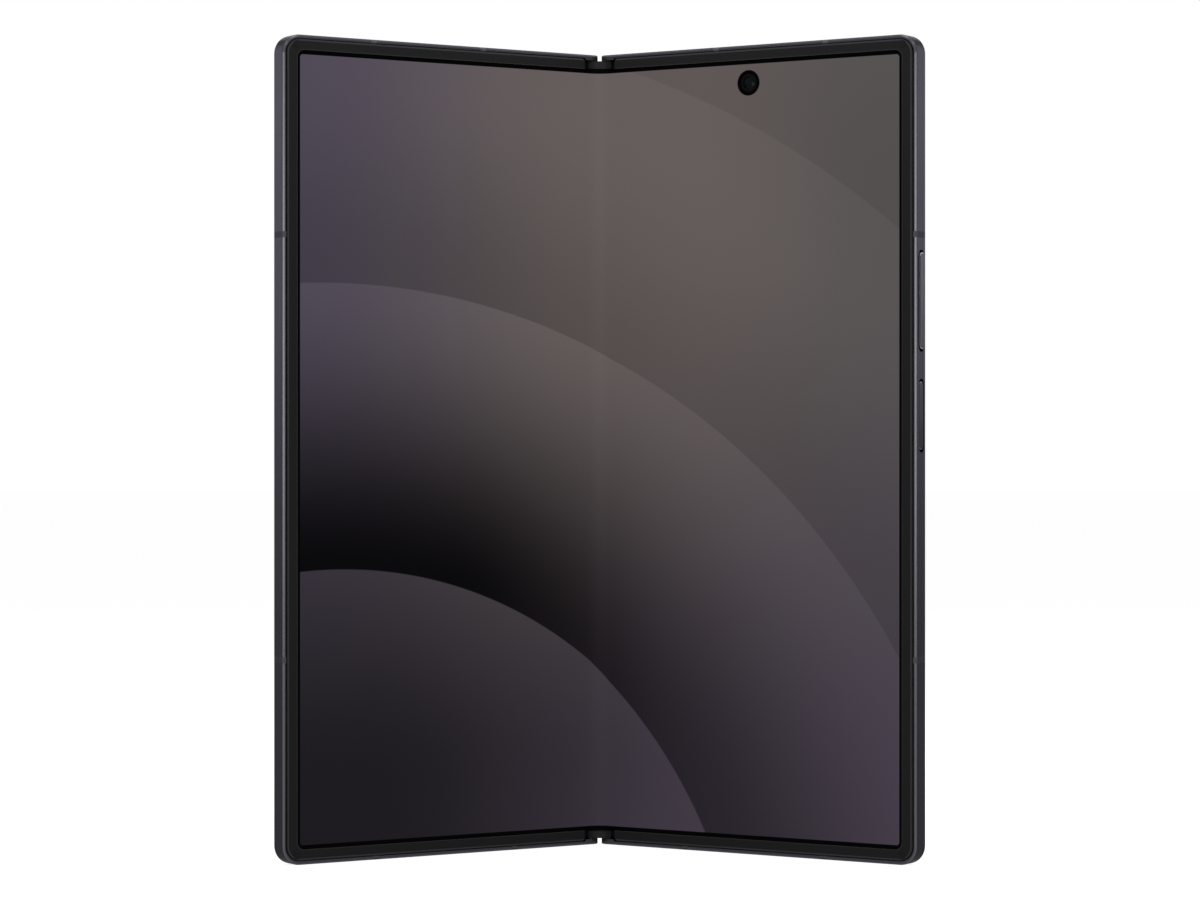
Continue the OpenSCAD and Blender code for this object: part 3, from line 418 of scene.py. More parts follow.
def bezel_finish(side):
    """Black polymer with a painted highlight along the outer edge of its front and a fainter one
    along the inner edge.
    """
    moulded = Finish(f"bezel_polymer_{SIDES[side]}", tint(24, 24, 25), 0.55, gloss=0.08)
    place = moulded.leaf_place(side)
    x, y, z = moulded.parts(place)
    from_middle = moulded.math("SUBTRACT", z, BODY_H / 2)
    texture = moulded.noise(14, 2, place)
    flat = moulded.blend_colour(texture, tint(19, 19, 20), tint(25, 25, 26))
    outer = rounded_distance(
        moulded, x, from_middle, BEZEL_OUT_X, BODY_H / 2 - BEZEL_OUT_Z, BEZEL_OUT_R)
    inner = rounded_distance(
        moulded, x, from_middle, BEZEL_IN_X, BODY_H / 2 - BEZEL_IN_Z, BEZEL_IN_R)
    # Painted highlight: a light band just inside the outer edge and a fainter one at the inner
    # edge, on the front only.
    rim = moulded.product(
        moulded.between(outer, -0.42, -0.34), moulded.between(outer, -0.1, -0.02, 1, 0))
    lip = moulded.product(moulded.between(inner, 0.1, 0.2, 1, 0), 0.45)
    front = moulded.between(y, 0.08, 0.14, 1, 0)
    edge = moulded.product(moulded.math("MAXIMUM", rim, lip), front)
    moulded.colour(moulded.blend_colour(edge, flat, tint(57, 56, 58)))
    moulded.satin(texture, 0.48, 0.62)
    moulded.bump(texture, 0.004, 0.4)
    return moulded


for side, word in SIDES.items():
    dress(bezel_finish(side), f"bezel_{word}")

rubber = Finish("bumper_rubber", tint(20, 20, 21), 0.75, gloss=0.1)
skin = rubber.noise(11, 3)
rubber.mottle(skin, (17, 17, 18), (24, 24, 25))
rubber.bump(skin, 0.006, 0.4)
dress(rubber, "bezel_bumpers_left", "bezel_bumpers_right")


# ---- Inner display
# One flexible film runs across the fold: a glued panel on each leaf and a strip between them
# that bends with the hinge. It is made here as two halves that meet at the fold line, each one
# sheet with its black printed border, its camera opening and a soft generic wallpaper.
DISPLAY_Y, DISPLAY_T = 0.25, 0.4
DISPLAY_END, DISPLAY_Z, DISPLAY_CORNER = 70.38, 2.8, 1.2
STRIP_W = 2.55
STRIP_STEPS = 24
CAMERA_X, CAMERA_Z, CAMERA_HOLE, CAMERA_RING = 34.8, 151.0, 1.9, 2.5
HOLE_STEPS, CORNER_STEPS = 64, 6
LIT_HALF_W, LIT_HALF_H, LIT_CORNER = 68.0, 75.45, 0.6
UV_SPAN = 160


def film_point(side, along, depth, z):
    """Place of a point of the film from its distance along the film from the fold line."""
    if along >= STRIP_W:
        return leaf_point(side, along, DISPLAY_Y + depth, z)
    end = leaf_point(1, STRIP_W, DISPLAY_Y, 0) * 1000
    bend = end.x / math.sin(FOLD)
    centre = end.y - bend * math.cos(FOLD)
    angle = FOLD * along / STRIP_W
    reach = bend + depth
    return Vector((side * reach * math.sin(angle), centre + reach * math.cos(angle), z)) / 1000


def film_outline():
    """Outline of a half film beyond the strip, in flat mm, from the fold side round."""
    low, high = DISPLAY_Z, BODY_H - DISPLAY_Z
    points = [(STRIP_W, low)]
    for centre_z, start in ((low + DISPLAY_CORNER, -90), (high - DISPLAY_CORNER, 0)):
        for step in range(CORNER_STEPS + 1):
            angle = math.radians(start + 90 * step / CORNER_STEPS)
            points.append((DISPLAY_END - DISPLAY_CORNER + DISPLAY_CORNER * math.cos(angle),
                           centre_z + DISPLAY_CORNER * math.sin(angle)))
    points.append((STRIP_W, high))
    return points


def film_half(side, has_hole):
    """Closed mesh of a half film; its UV map holds the place on the unrolled display."""
    bm = bmesh.new()
    outline = [bm.verts.new((x, 0, z)) for x, z in film_outline()]
    edges = [bm.edges.new((a, b)) for a, b in zip(outline, outline[1:] + outline[:1])]
    if has_hole:
        rim = []
        for step in range(HOLE_STEPS):
            angle = math.tau * step / HOLE_STEPS
            rim.append(bm.verts.new((CAMERA_X + CAMERA_HOLE * math.cos(angle), 0,
                                     CAMERA_Z + CAMERA_HOLE * math.sin(angle))))
        edges += [bm.edges.new((a, b)) for a, b in zip(rim, rim[1:] + rim[:1])]
    bmesh.ops.triangle_fill(bm, use_beauty=True, use_dissolve=False, edges=edges)
    low, high = outline[0], outline[-1]
    for step in range(STRIP_STEPS - 1, -1, -1):
        x = STRIP_W * step / STRIP_STEPS
        new_low = bm.verts.new((x, 0, DISPLAY_Z))
        new_high = bm.verts.new((x, 0, BODY_H - DISPLAY_Z))
        bm.faces.new((new_low, low, high, new_high))
        low, high = new_low, new_high
    front = list(bm.faces)
    bmesh.ops.recalc_face_normals(bm, faces=front)
    if front[0].normal.y > 0:
        bmesh.ops.reverse_faces(bm, faces=front)
    extruded = bmesh.ops.extrude_face_region(bm, geom=front, use_keep_orig=True)
    for item in extruded["geom"]:
        if isinstance(item, bmesh.types.BMVert):
            item.co.y = DISPLAY_T
    uv = bm.loops.layers.uv.new("film")
    for face in bm.faces:
        face.material_index = 1 if all(v.co.y > 0 for v in face.verts) else 0
        for loop in face.loops:
            loop[uv].uv = (0.5 + side * loop.vert.co.x / UV_SPAN, loop.vert.co.z / UV_SPAN)
    bm.faces.index_update()
    bend_faces = {
        face.index: all(v.co.x <= STRIP_W + 0.01 for v in face.verts)
        and face.calc_center_median().x < STRIP_W - 0.01 for face in bm.faces}
    for edge in bm.edges:
        flat = [abs(face.normal.y) > 0.9 for face in edge.link_faces]
        edge.smooth = len(set(flat)) == 1
    for vert in bm.verts:
        vert.co = film_point(side, vert.co.x, vert.co.y, vert.co.z)
    bmesh.ops.recalc_face_normals(bm, faces=bm.faces)
    for face in bm.faces:
        face.smooth = bend_faces[face.index]
    mesh = bpy.data.meshes.new("film")
    bm.to_mesh(mesh)
    bm.free()
    return mesh


ARC_X, ARC_Z = -60.0, -118.0


def wallpaper(finish, x, z):
    """Generic picture: soft colours and three large arcs, each shaded just outside its edge."""
    top = finish.blend_colour(finish.between(x, -72, -4), tint(80, 73, 87), tint(101, 93, 91))
    top = finish.blend_colour(finish.between(x, 20, 72), top, tint(88, 84, 84))
    bottom = finish.blend_colour(finish.between(x, -55, 60), tint(27, 25, 29), tint(72, 64, 76))
    picture = finish.blend_colour(finish.between(z, -66, 40), bottom, top)
    reach = finish.away(x, z, ARC_X, ARC_Z)
    for radius, depth, width in ((95, 0.04, 58), (150, 0.66, 44), (205, 0.8, 48)):
        outside = finish.math("SUBTRACT", reach, float(radius))
        shade = finish.between(x, -34, 26, depth, 0.35 + 0.65 * depth)
        fade = finish.math("MULTIPLY_ADD", finish.between(outside, 0.0, float(width)),
                           finish.math("SUBTRACT", 1.0, shade), shade)
        edge = finish.between(outside, -0.15, 0.15, 1.0, fade)
        picture = finish.blend_colour(1.0, picture, finish.joined(edge, edge, edge), "MULTIPLY")
    return picture


film = Finish("display_film", tint(1, 1, 2), 0.14, gloss=0.015)
unrolled = film.node("ShaderNodeUVMap", uv_map="film").outputs[0]
from_centre = film.vector("SUBTRACT", unrolled, (0.5, BODY_H / 2 / UV_SPAN, 0))
film_x, film_z, _ = film.parts(film.vector("MULTIPLY", from_centre, (UV_SPAN, UV_SPAN, 0)))
border = rounded_distance(film, film_x, film_z, LIT_HALF_W, LIT_HALF_H, LIT_CORNER)
ring = film.away(film_x, film_z, CAMERA_X, CAMERA_Z - BODY_H / 2)
lit = film.product(film.between(border, -0.06, 0.06, 1, 0),
                   film.between(ring, CAMERA_RING - 0.06, CAMERA_RING + 0.06))
from_fold = film.math("ABSOLUTE", film_x)
# Painted highlight: the picture is made five per cent brighter towards the fold line, as a sheen
# along the fold.
painted_crease_sheen = film.between(from_fold, 0.0, 2.9, 1.05, 1.0)
glow = film.product(lit, painted_crease_sheen)
film.feed(film.shader.inputs["Emission Color"], film.blend_colour(
    1.0, wallpaper(film, film_x, film_z), film.joined(glow, glow, glow), "MULTIPLY"))
film.fixed("Emission Strength", 1.0)
film.rough(film.math("MAXIMUM", film.between(film.noise(0.25, 2), 0.3, 0.7, 0.16, 0.22),
                     film.between(from_fold, 2.0, 4.0, 0.5, 0.0)))
film.bump(film.noise(0.12, 1, stretch=(1, 1, 0.15)), 0.02, 0.15)

backing = Finish("display_backing", tint(30, 30, 32), 0.5, metal=1)
backing.bump(backing.noise(5, 2), 0.004, 0.4)
backing.mottle(backing.noise(0.3, 3), (26, 26, 28), (38, 38, 40))

for side, word in SIDES.items():
    half = add(f"display_film_{word}_leaf", film_half(side, has_hole=side > 0))
    half.data.materials.append(film.material)
    half.data.materials.append(backing.material)
    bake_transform(half)
    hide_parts(f"display_{word}", "display_fold")


# ---- Hinge cover, end caps and the metal inside
# A drawn and anodised half pipe hides the hinge from behind and moulded caps close its two ends.
# Inside are sintered steel blocks and rotors, oiled steel gears and arms, plated screws and
# pins, and a stack of blued spring washers on each arm's shaft.
cover_metal = Finish("hinge_cover_metal", tint(58, 57, 62), 0.36, metal=1)
drawn = cover_metal.noise(1.2, 3, stretch=(6, 6, 0.06))
cover_metal.mottle(drawn, (50, 49, 54), (64, 63, 69))
cover_metal.satin(drawn, 0.3, 0.42)
cover_metal.bump(drawn, 0.004, 0.25)
dress(cover_metal, "hinge_cover")

cap_plastic = Finish("hinge_cap_plastic", tint(26, 26, 27), 0.5, gloss=0.08)
pits = cap_plastic.noise(10, 2)
cap_x = cap_plastic.parts(cap_plastic.place)[0]
# Painted light and shade: the cap is painted lighter across its middle and darker towards its
# sides.
painted_lit_middle = cap_plastic.between(cap_plastic.math("ABSOLUTE", cap_x), 0.5, 1.9, 1, 0)
cap_plastic.colour(cap_plastic.blend_colour(
    painted_lit_middle, cap_plastic.blend_colour(pits, tint(12, 12, 13), tint(17, 17, 18)),
    cap_plastic.blend_colour(pits, tint(32, 32, 33), tint(38, 38, 39))))
cap_plastic.bump(pits, 0.005, 0.3)
dress(cap_plastic, "hinge_end_caps")

steel = Finish("sintered_steel", tint(150, 148, 146), 0.38, metal=1)
specks = steel.noise(6, 4)
steel.mottle(specks, (128, 126, 124), (168, 166, 164))
steel.satin(specks, 0.3, 0.46)
steel.bump(specks, 0.008, 0.4)
dress(steel, "hinge_blocks", "rotors_left", "rotors_right")

gear_steel = Finish("oiled_gear_steel", tint(142, 136, 124), 0.25, metal=1)
oil = gear_steel.noise(1.4, 3)
gear_steel.mottle(oil, (118, 112, 100), (158, 152, 140))
gear_steel.rough(gear_steel.between(oil, 0.35, 0.65, 0.14, 0.36))
dress(gear_steel, "idler_gear_left", "idler_gear_right", "sync_arm_left", "sync_arm_right")

bright_steel = Finish("zinc_plated_steel", tint(176, 176, 178), 0.22, metal=1)
turned = bright_steel.noise(3, 4)
bright_steel.mottle(turned, (160, 160, 163), (190, 190, 190))
bright_steel.satin(turned, 0.16, 0.32)
dress(bright_steel, "hinge_screws", "idler_pins", "rotor_screws_left", "rotor_screws_right")

blued = Finish("blued_spring_steel", tint(88, 88, 98), 0.3, metal=1)
temper = blued.noise(1.1, 3)
blued.mottle(temper, (78, 80, 98), (112, 104, 96))
blued.bump(blued.noise(8, 2), 0.004, 0.4)
dress(blued, "friction_washers")


# ---- Keys on the free edge of the right leaf
# Two machined aluminium key caps with rounded and polished edges, blasted and anodised; the
# polished edges carry a painted highlight. Each stands on a collar that seals its slot, painted
# matt black as the shade in the slot, and a stem behind it reaches the switch.
KEY_Y, KEY_W, KEY_EDGE, KEY_EDGE_STEPS = 2.25, 1.9, 0.2, 6
KEYS = {"volume_key": (107.6, 19.3), "side_key": (85.7, 13.9)}
COLLAR_X, COLLAR_STEP, COLLAR_SIDE = 71.0, 0.38, 0.03


def flat_point(place):
    """The reverse of leaf_point for the right leaf: from metres to mm as if it lay flat."""
    out, deep = place.x * 1000 - AXIS_X, place.y * 1000 - SPINE_Y - AXIS_Y
    return Vector((AXIS_X + out * math.cos(FOLD) - deep * math.sin(FOLD),
                   AXIS_Y + out * math.sin(FOLD) + deep * math.cos(FOLD), place.z * 1000))


def key_cap(node):
    """The key up to its collar as the CAD has it, then a cap set back at both ends."""
    middle, length = KEYS[node]
    radius, straight = KEY_W / 2, length / 2 - KEY_W / 2
    bm = bmesh.new()
    bm.from_mesh(frame["nodes"][node].data)
    bmesh.ops.remove_doubles(bm, verts=bm.verts, dist=1e-6)
    for vert in bm.verts:
        vert.co = flat_point(vert.co)
    top = max(vert.co.x for vert in bm.verts)
    bmesh.ops.bisect_plane(
        bm, geom=[*bm.verts, *bm.edges, *bm.faces], dist=1e-4,
        plane_co=(COLLAR_X, 0, 0), plane_no=(1, 0, 0), clear_outer=True)
    rim = [edge for edge in bm.edges if edge.is_boundary]
    loop, previous = [rim[0].verts[0]], None
    while len(loop) < len(rim):
        edge = next(e for e in loop[-1].link_edges if e.is_boundary and e is not previous)
        loop.append(edge.other_vert(loop[-1]))
        previous = edge
    outline = [(v.co.y - KEY_Y, v.co.z - middle) for v in loop]

    def ring(x, inset):
        shrink = (radius - COLLAR_SIDE - inset) / radius
        made = []
        for y, z in outline:
            at_end = abs(z) > straight - 0.001
            reach = min(abs(z), straight) - (COLLAR_STEP if at_end else 0)
            reach += max(abs(z) - straight, 0) * shrink
            made.append(bm.verts.new((x, KEY_Y + y * shrink, middle + math.copysign(reach, z))))
        return made

    rings = [loop, ring(COLLAR_X, 0)]
    for step in range(KEY_EDGE_STEPS + 1):
        angle = math.pi / 2 * step / KEY_EDGE_STEPS
        rings.append(ring(top - KEY_EDGE * (1 - math.sin(angle)),
                          KEY_EDGE * (1 - math.cos(angle))))
    for low, high in zip(rings, rings[1:]):
        for k in range(len(loop)):
            bm.faces.new((low[k - 1], low[k], high[k], high[k - 1]))
    bm.faces.new(rings[-1])
    bmesh.ops.recalc_face_normals(bm, faces=bm.faces)
    for face in bm.faces:
        face.smooth = True
    for edge in bm.edges:
        edge.smooth = edge.calc_face_angle(math.pi) < math.radians(30)
    for vert in bm.verts:
        vert.co = leaf_point(1, *vert.co)
    if bm.calc_volume(signed=True) < 0:
        bmesh.ops.reverse_faces(bm, faces=bm.faces)
    mesh = bpy.data.meshes.new(node)
    bm.to_mesh(mesh)
    bm.free()
    return mesh


def key_finish(node, low, high, end_highlight, front_highlight):
    """Blasted face from colour low to high, a polished edge with a painted highlight,
    end_highlight strong round the ends and front_highlight along the front, and the collar painted
    black as shade.
    """
    middle, length = KEYS[node]
    cap = Finish(f"{node}_metal", low, 0.34, metal=1, gloss=0.02)
    cap.fixed("Specular Tint", DARK_METAL_EDGE)
    place = cap.leaf_place(1)
    x, y, z = cap.parts(place)
    edge = rounded_distance(
        cap, cap.math("SUBTRACT", y, KEY_Y), cap.math("SUBTRACT", z, middle),
        KEY_W / 2 + 0.2, length / 2 - COLLAR_STEP, KEY_W / 2)
    grain = cap.noise(10, 2, place)
    # Painted highlight: a bright line along the cap's edge, strongest round its ends and on its
    # front side.
    polish_and_highlight = cap.product(
        cap.between(edge, -0.28, -0.2), cap.between(x, COLLAR_X + 0.4, COLLAR_X + 0.45))
    face = cap.blend_colour(cap.noise(0.3, 2, place), low, high)
    from_middle = cap.math("ABSOLUTE", cap.math("SUBTRACT", z, middle))
    from_end = cap.math("SUBTRACT", length / 2, from_middle)
    along = cap.between(y, KEY_Y - 0.4, KEY_Y + 0.4, front_highlight, 0.3 * front_highlight)
    round_end = cap.between(from_end, 1.0, 1.6, 1.0, 0.0)
    bright = cap.math("ADD", cap.product(round_end, end_highlight),
                      cap.product(cap.math("SUBTRACT", 1.0, round_end), along))
    # Painted shade: the collar under the cap is painted black and not metal, as the shade deep in
    # the slot.
    shade = cap.between(x, COLLAR_X + 0.02, COLLAR_X + 0.12, 1, 0)
    face = cap.blend_colour(cap.product(polish_and_highlight, bright), face, tint(170, 169, 176))
    cap.colour(cap.blend_colour(shade, face, tint(6, 6, 7)))
    cap.feed(cap.shader.inputs["Metallic"], cap.math("SUBTRACT", 1.0, shade))
    cap.rough(cap.math(
        "SUBTRACT", cap.between(grain, 0.3, 0.7, 0.3, 0.42), cap.product(polish_and_highlight, 0.04)))
    cap.bump(grain, 0.005, 0.3)
    return cap


def fit(name, mesh, body, slot_name, *nodes):
    """Puts a finished piece on its body, in the stead of any CAD nodes named."""
    piece = add(name, mesh)
    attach(piece, body)
    if nodes:
        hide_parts(*nodes)


for node, low, high, end_highlight, front_highlight in (
        ("volume_key", tint(50, 49, 53), tint(58, 57, 61), 0.5, 0.3),
        ("side_key", tint(40, 39, 43), tint(47, 46, 50), 0.2, 0.5)):
    cap_mesh = key_cap(node)
    cap_mesh.materials.append(key_finish(node, low, high, end_highlight, front_highlight).material)
    fit(f"{node}_cap", cap_mesh, node, "key_metal", node)

brass = Finish("switch_brass", tint(196, 176, 120), 0.3, metal=1)
brass.mottle(brass.noise(1.5, 3), (180, 158, 104), (206, 188, 134))
brass.bump(brass.noise(7, 2), 0.004, 0.3)
dress(brass, "key_switches")


# ---- Ports: USB-C socket, SIM tray and its reader
# The socket is a deep-drawn steel shell round a moulded tongue, with gold contact pads on both
# faces of the tongue. The SIM tray is milled from the frame's aluminium and anodised with it,
# and slides into a stamped steel reader.
socket_steel = Finish("socket_steel", tint(150, 150, 152), 0.26, metal=1)
draw = socket_steel.noise(2, 3, stretch=(1, 1, 0.15))
socket_steel.mottle(draw, (134, 134, 136), (166, 166, 168))
socket_steel.satin(draw, 0.18, 0.34)
dress(socket_steel, "usb_socket", "sim_reader")
dress(anodised_finish(-1, rim=False), "sim_tray")

USB_X, USB_Y, PAD_Z = 36.0, 2.1, 3.3
TONGUE_HALF_T = 0.35


class Recipe:
    """A Geometry Nodes tree with named sizes, drawn in mm, that makes one plain mesh."""

    def __init__(self, name):
        self.name = name
        self.tree = bpy.data.node_groups.new(name, "GeometryNodeTree")
        self.tree.interface.new_socket(
            "Geometry", in_out="OUTPUT", socket_type="NodeSocketGeometry")
        self.given = self.tree.nodes.new("NodeGroupInput")
        self.values = {}

    def size(self, name, value):
        kind = "NodeSocketInt" if isinstance(value, int) else "NodeSocketFloat"
        socket = self.tree.interface.new_socket(name, in_out="INPUT", socket_type=kind)
        self.values[socket.identifier] = value
        return self.given.outputs[name]

    def node(self, kind, feeds, **settings):
        made = self.tree.nodes.new(kind)
        for key, value in settings.items():
            setattr(made, key, value)
        for key, value in feeds.items():
            if isinstance(value, bpy.types.NodeSocket):
                self.tree.links.new(value, made.inputs[key])
            else:
                made.inputs[key].default_value = value
        return made.outputs[0]

    def vector(self, x=0.0, y=0.0, z=0.0):
        return self.node("ShaderNodeCombineXYZ", {0: x, 1: y, 2: z})

    def math(self, operation, first, second=0.0):
        return self.node("ShaderNodeMath", {0: first, 1: second}, operation=operation)

    def moved(self, shape, offset, turn=(0, 0, 0)):
        return self.node("GeometryNodeTransform", {
            "Geometry": shape, "Translation": offset, "Rotation": turn})

    def row(self, shape, count, step):
        """count copies of shape in a row centred on the origin; step is a vector."""
        half_back = self.math("MULTIPLY", self.math("SUBTRACT", count, 1.0), -0.5)
        start = self.node("ShaderNodeVectorMath", {0: step, "Scale": half_back}, operation="SCALE")
        points = self.node("GeometryNodeMeshLine", {
            "Count": count, "Start Location": start, "Offset": step})
        return self.node("GeometryNodeInstanceOnPoints", {"Points": points, "Instance": shape})

    def together(self, *shapes):
        join = self.tree.nodes.new("GeometryNodeJoinGeometry")
        for shape in shapes:
            self.tree.links.new(shape, join.inputs[0])
        return join.outputs[0]

    def mesh(self, shape, material, place, smooth=False):
        """The finished plain mesh, with place(point) giving each of its points in metres."""
        shape = self.node("GeometryNodeRealizeInstances", {"Geometry": shape})
        shape = self.node("GeometryNodeSetShadeSmooth", {
            "Geometry": shape, "Shade Smooth": smooth})
        shape = self.node("GeometryNodeSetMaterial", {"Geometry": shape, "Material": material})
        self.tree.links.new(shape, self.tree.nodes.new("NodeGroupOutput").inputs[0])
        host = add(self.name, bpy.data.meshes.new(self.name))
        modifier = host.modifiers.new(self.name, "NODES")
        modifier.node_group = self.tree
        for identifier, value in self.values.items():
            modifier[identifier] = value
        evaluated = host.evaluated_get(bpy.context.evaluated_depsgraph_get())
        mesh = bpy.data.meshes.new_from_object(evaluated)
        host.modifiers.remove(modifier)
        bpy.data.objects.remove(host)
        bm = bmesh.new()
        bm.from_mesh(mesh)
        for vert in bm.verts:
            vert.co = place(vert.co)
        if bm.calc_volume(signed=True) < 0:
            bmesh.ops.reverse_faces(bm, faces=bm.faces)
        bm.to_mesh(mesh)
        bm.free()
        return mesh


gold = Finish("contact_gold", tint(222, 186, 112), 0.22, metal=1)
wiped = gold.noise(6, 2, stretch=(1, 1, 0.1))
gold.mottle(wiped, (208, 170, 96), (232, 200, 130))
gold.satin(wiped, 0.16, 0.3)

recipe = Recipe("usb_contacts")
pad = recipe.node("GeometryNodeMeshCube", {"Size": recipe.vector(
    recipe.size("Pad width", 0.26), recipe.size("Pad thickness", 0.08),
    recipe.size("Pad length", 3.4))})
pads = recipe.row(pad, recipe.size("Pads", 12), recipe.vector(recipe.size("Pitch", 0.5)))
half_t = recipe.size("Half tongue", TONGUE_HALF_T)
both = recipe.together(recipe.moved(pads, recipe.vector(y=half_t)),
                       recipe.moved(pads, recipe.vector(y=recipe.math("MULTIPLY", half_t, -1.0))))
fit("usb_contacts", recipe.mesh(both, gold.material, lambda at: leaf_point(
    1, USB_X + at.x, USB_Y + at.y, PAD_Z + at.z)), "right_leaf", "switch_brass")


# ---- Speakers and motor behind the rails
# Two glass-filled speaker boxes fire through the rails' slots, each with a screen of woven
# steel cloth behind it. The vibration motor sits in a stamped steel can.
speaker_box = Finish("speaker_plastic", tint(26, 26, 27), 0.6, gloss=0.3)
mould = speaker_box.noise(4, 3)
speaker_box.mottle(mould, (22, 22, 23), (32, 32, 33))
speaker_box.bump(mould, 0.01, 0.4)
dress(speaker_box, "earpiece", "loudspeaker")

VENT_X, VENT_Y, VENT_PITCH, VENTS = 59.6, 2.35, 2.4, 5
VENT_R, VENT_HALF = 0.45, 0.8
SCREEN_DEPTH, SCREEN_LAP = 0.75, 0.1

screen_steel = Finish("screen_steel", tint(70, 70, 74), 0.35, metal=1)
spun = screen_steel.noise(7, 2)
screen_steel.mottle(spun, (58, 58, 62), (84, 84, 88))
screen_steel.satin(spun, 0.28, 0.42)


def vent_screen(name, side, from_end):
    """Woven steel cloth across each vent slot; from_end gives z of a depth into the rail."""
    recipe = Recipe(name)
    wire = recipe.size("Wire radius", 0.035)
    gap = recipe.size("Wire pitch", 0.15)
    across = recipe.node("GeometryNodeMeshCylinder", {
        "Vertices": 6, "Radius": wire,
        "Depth": recipe.size("Slot width", 2 * VENT_R + SCREEN_LAP)})
    along = recipe.node("GeometryNodeMeshCylinder", {
        "Vertices": 6, "Radius": wire,
        "Depth": recipe.size("Slot length", 2 * (VENT_HALF + VENT_R) + SCREEN_LAP)})
    turned_across = recipe.moved(across, recipe.vector(z=wire), (0, math.pi / 2, 0))
    turned_along = recipe.moved(along, (0, 0, 0), (math.pi / 2, 0, 0))
    cloth = recipe.together(
        recipe.row(turned_across, recipe.size("Cross wires", 17), recipe.vector(y=gap)),
        recipe.row(turned_along, recipe.size("Long wires", 6), recipe.vector(x=gap)))
    cloths = recipe.row(cloth, recipe.size("Slots", VENTS),
                        recipe.vector(x=recipe.size("Slot pitch", VENT_PITCH)))
    return recipe.mesh(cloths, screen_steel.material, lambda at: leaf_point(
        side, VENT_X + at.x, VENT_Y + at.y, from_end(SCREEN_DEPTH + at.z)))


for side, from_end in ((-1, lambda depth: BODY_H - depth), (1, lambda depth: depth)):
    name = f"vent_screen_{SIDES[side]}"
    fit(name, vent_screen(name, side, from_end), f"{SIDES[side]}_leaf", "speaker_plastic")

can_steel = Finish("stamped_steel", tint(184, 184, 186), 0.32, metal=1)
rolled = can_steel.noise(1.2, 4, stretch=(0.15, 1, 1))
can_steel.mottle(rolled, (168, 168, 171), (196, 196, 198))
can_steel.satin(rolled, 0.24, 0.4)
dress(can_steel, "vibration_motor", "shield_cans")


# ---- Batteries, boards and charging coil
# A foil pouch cell in each leaf, bonded to its inner plate, two multilayer boards with green
# resist, and a flat coil of copper strands behind the right back glass.
pouch = Finish("battery_pouch", tint(44, 44, 47), 0.4, metal=0.3)
creases = pouch.noise(0.35, 5)
pouch.mottle(creases, (38, 38, 41), (54, 54, 57))
pouch.bump(creases, 0.06, 0.5)
dress(pouch, "battery_left", "battery_right")

resist = Finish("board_resist", tint(20, 48, 36), 0.35, gloss=0.5)
tracks = resist.node("ShaderNodeTexVoronoi", feature="DISTANCE_TO_EDGE")
resist.feed(tracks.inputs["Vector"], resist.place)
tracks.inputs["Scale"].default_value = 0.8
track = resist.between(tracks.outputs["Distance"], 0.03, 0.06, 1, 0)
resist.mottle(track, (18, 44, 34), (44, 92, 62))
resist.bump(track, 0.02, 0.5)
dress(resist, "main_board", "sub_board")

copper = Finish("coil_copper", tint(178, 112, 66), 0.3, metal=1)
strands = copper.noise(3, 2)
copper.mottle(strands, (160, 96, 54), (196, 130, 82))
copper.bump(strands, 0.01, 0.4)
dress(copper, "charging_coil")


# ---- Glass of the two backs and the cover display
# The left back is clear gloss glass over the cover display; the right back is etched glass,
# tinted from inside, with a soft satin sheen.
COVER_CAMERA = (37.1, 150.9)
COVER_PANEL_X, COVER_PANEL_HALF_W, COVER_PANEL_HALF_H, COVER_PANEL_R = 38.3, 30.3, 76.2, 1.8
gloss_glass = Finish("cover_glass_black", tint(8, 8, 9), 0.06, gloss=0.16)
cover_place = gloss_glass.leaf_place(-1)
smear = gloss_glass.noise(0.05, 4, cover_place)
gloss_glass.rough(gloss_glass.between(smear, 0.4, 0.7, 0.04, 0.12))
glass_x, _, glass_z = gloss_glass.parts(cover_place)
panel = rounded_distance(
    gloss_glass, gloss_glass.math("SUBTRACT", glass_x, COVER_PANEL_X),
    gloss_glass.math("SUBTRACT", glass_z, BODY_H / 2),
    COVER_PANEL_HALF_W, COVER_PANEL_HALF_H, COVER_PANEL_R)
off_panel = gloss_glass.between(panel, -0.1, 0.1)
seen = gloss_glass.blend_colour(off_panel, tint(20, 20, 24), tint(5, 5, 6))
from_camera = gloss_glass.away(glass_x, glass_z, *COVER_CAMERA)
# The camera under the glass is painted as rings: a black rim, a grey ring, a purple centre that is
# a painted reflection of the lens coating, and a black pupil.
for radius, paint in (
        (1.9, (2, 2, 3)), (1.3, (44, 42, 52)), (1.0, (12, 10, 22)), (0.5, (1, 1, 2))):
    inside = gloss_glass.between(from_camera, radius - 0.06, radius + 0.06, 1, 0)
    seen = gloss_glass.blend_colour(inside, seen, tint(*paint))
gloss_glass.colour(seen)
dress(gloss_glass, "cover_glass", "cover_display")

satin_glass = Finish("back_glass_satin", tint(58, 57, 63), 0.34, gloss=0.5)
frost = satin_glass.noise(12, 2)
satin_glass.mottle(satin_glass.noise(0.03, 2), (52, 51, 57), (62, 61, 68))
satin_glass.satin(frost, 0.28, 0.42)
satin_glass.bump(frost, 0.003, 0.25)
dress(satin_glass, "back_glass")


# ---- Cameras
# The island is one milled and blasted aluminium plate. In it each rear camera sits in a matt
# barrel with fine baffles, under a coated lens and a sapphire window in a turned ring.
island = Finish("camera_island_metal", tint(62, 61, 67), 0.4, metal=1)
island_grain = island.noise(9, 2)
island.mottle(island.noise(0.06, 2), (58, 57, 63), (68, 67, 74))
island.satin(island_grain, 0.34, 0.48)
island.bump(island_grain, 0.005, 0.3)
dress(island, "camera_island")

ring_metal = Finish("lens_ring_metal", tint(128, 127, 133), 0.2, metal=1)
ring_lines = ring_metal.noise(5, 2)
ring_metal.mottle(ring_lines, (118, 117, 123), (138, 137, 143))
ring_metal.bump(ring_lines, 0.003, 0.2)
dress(ring_metal, "lens_rings")

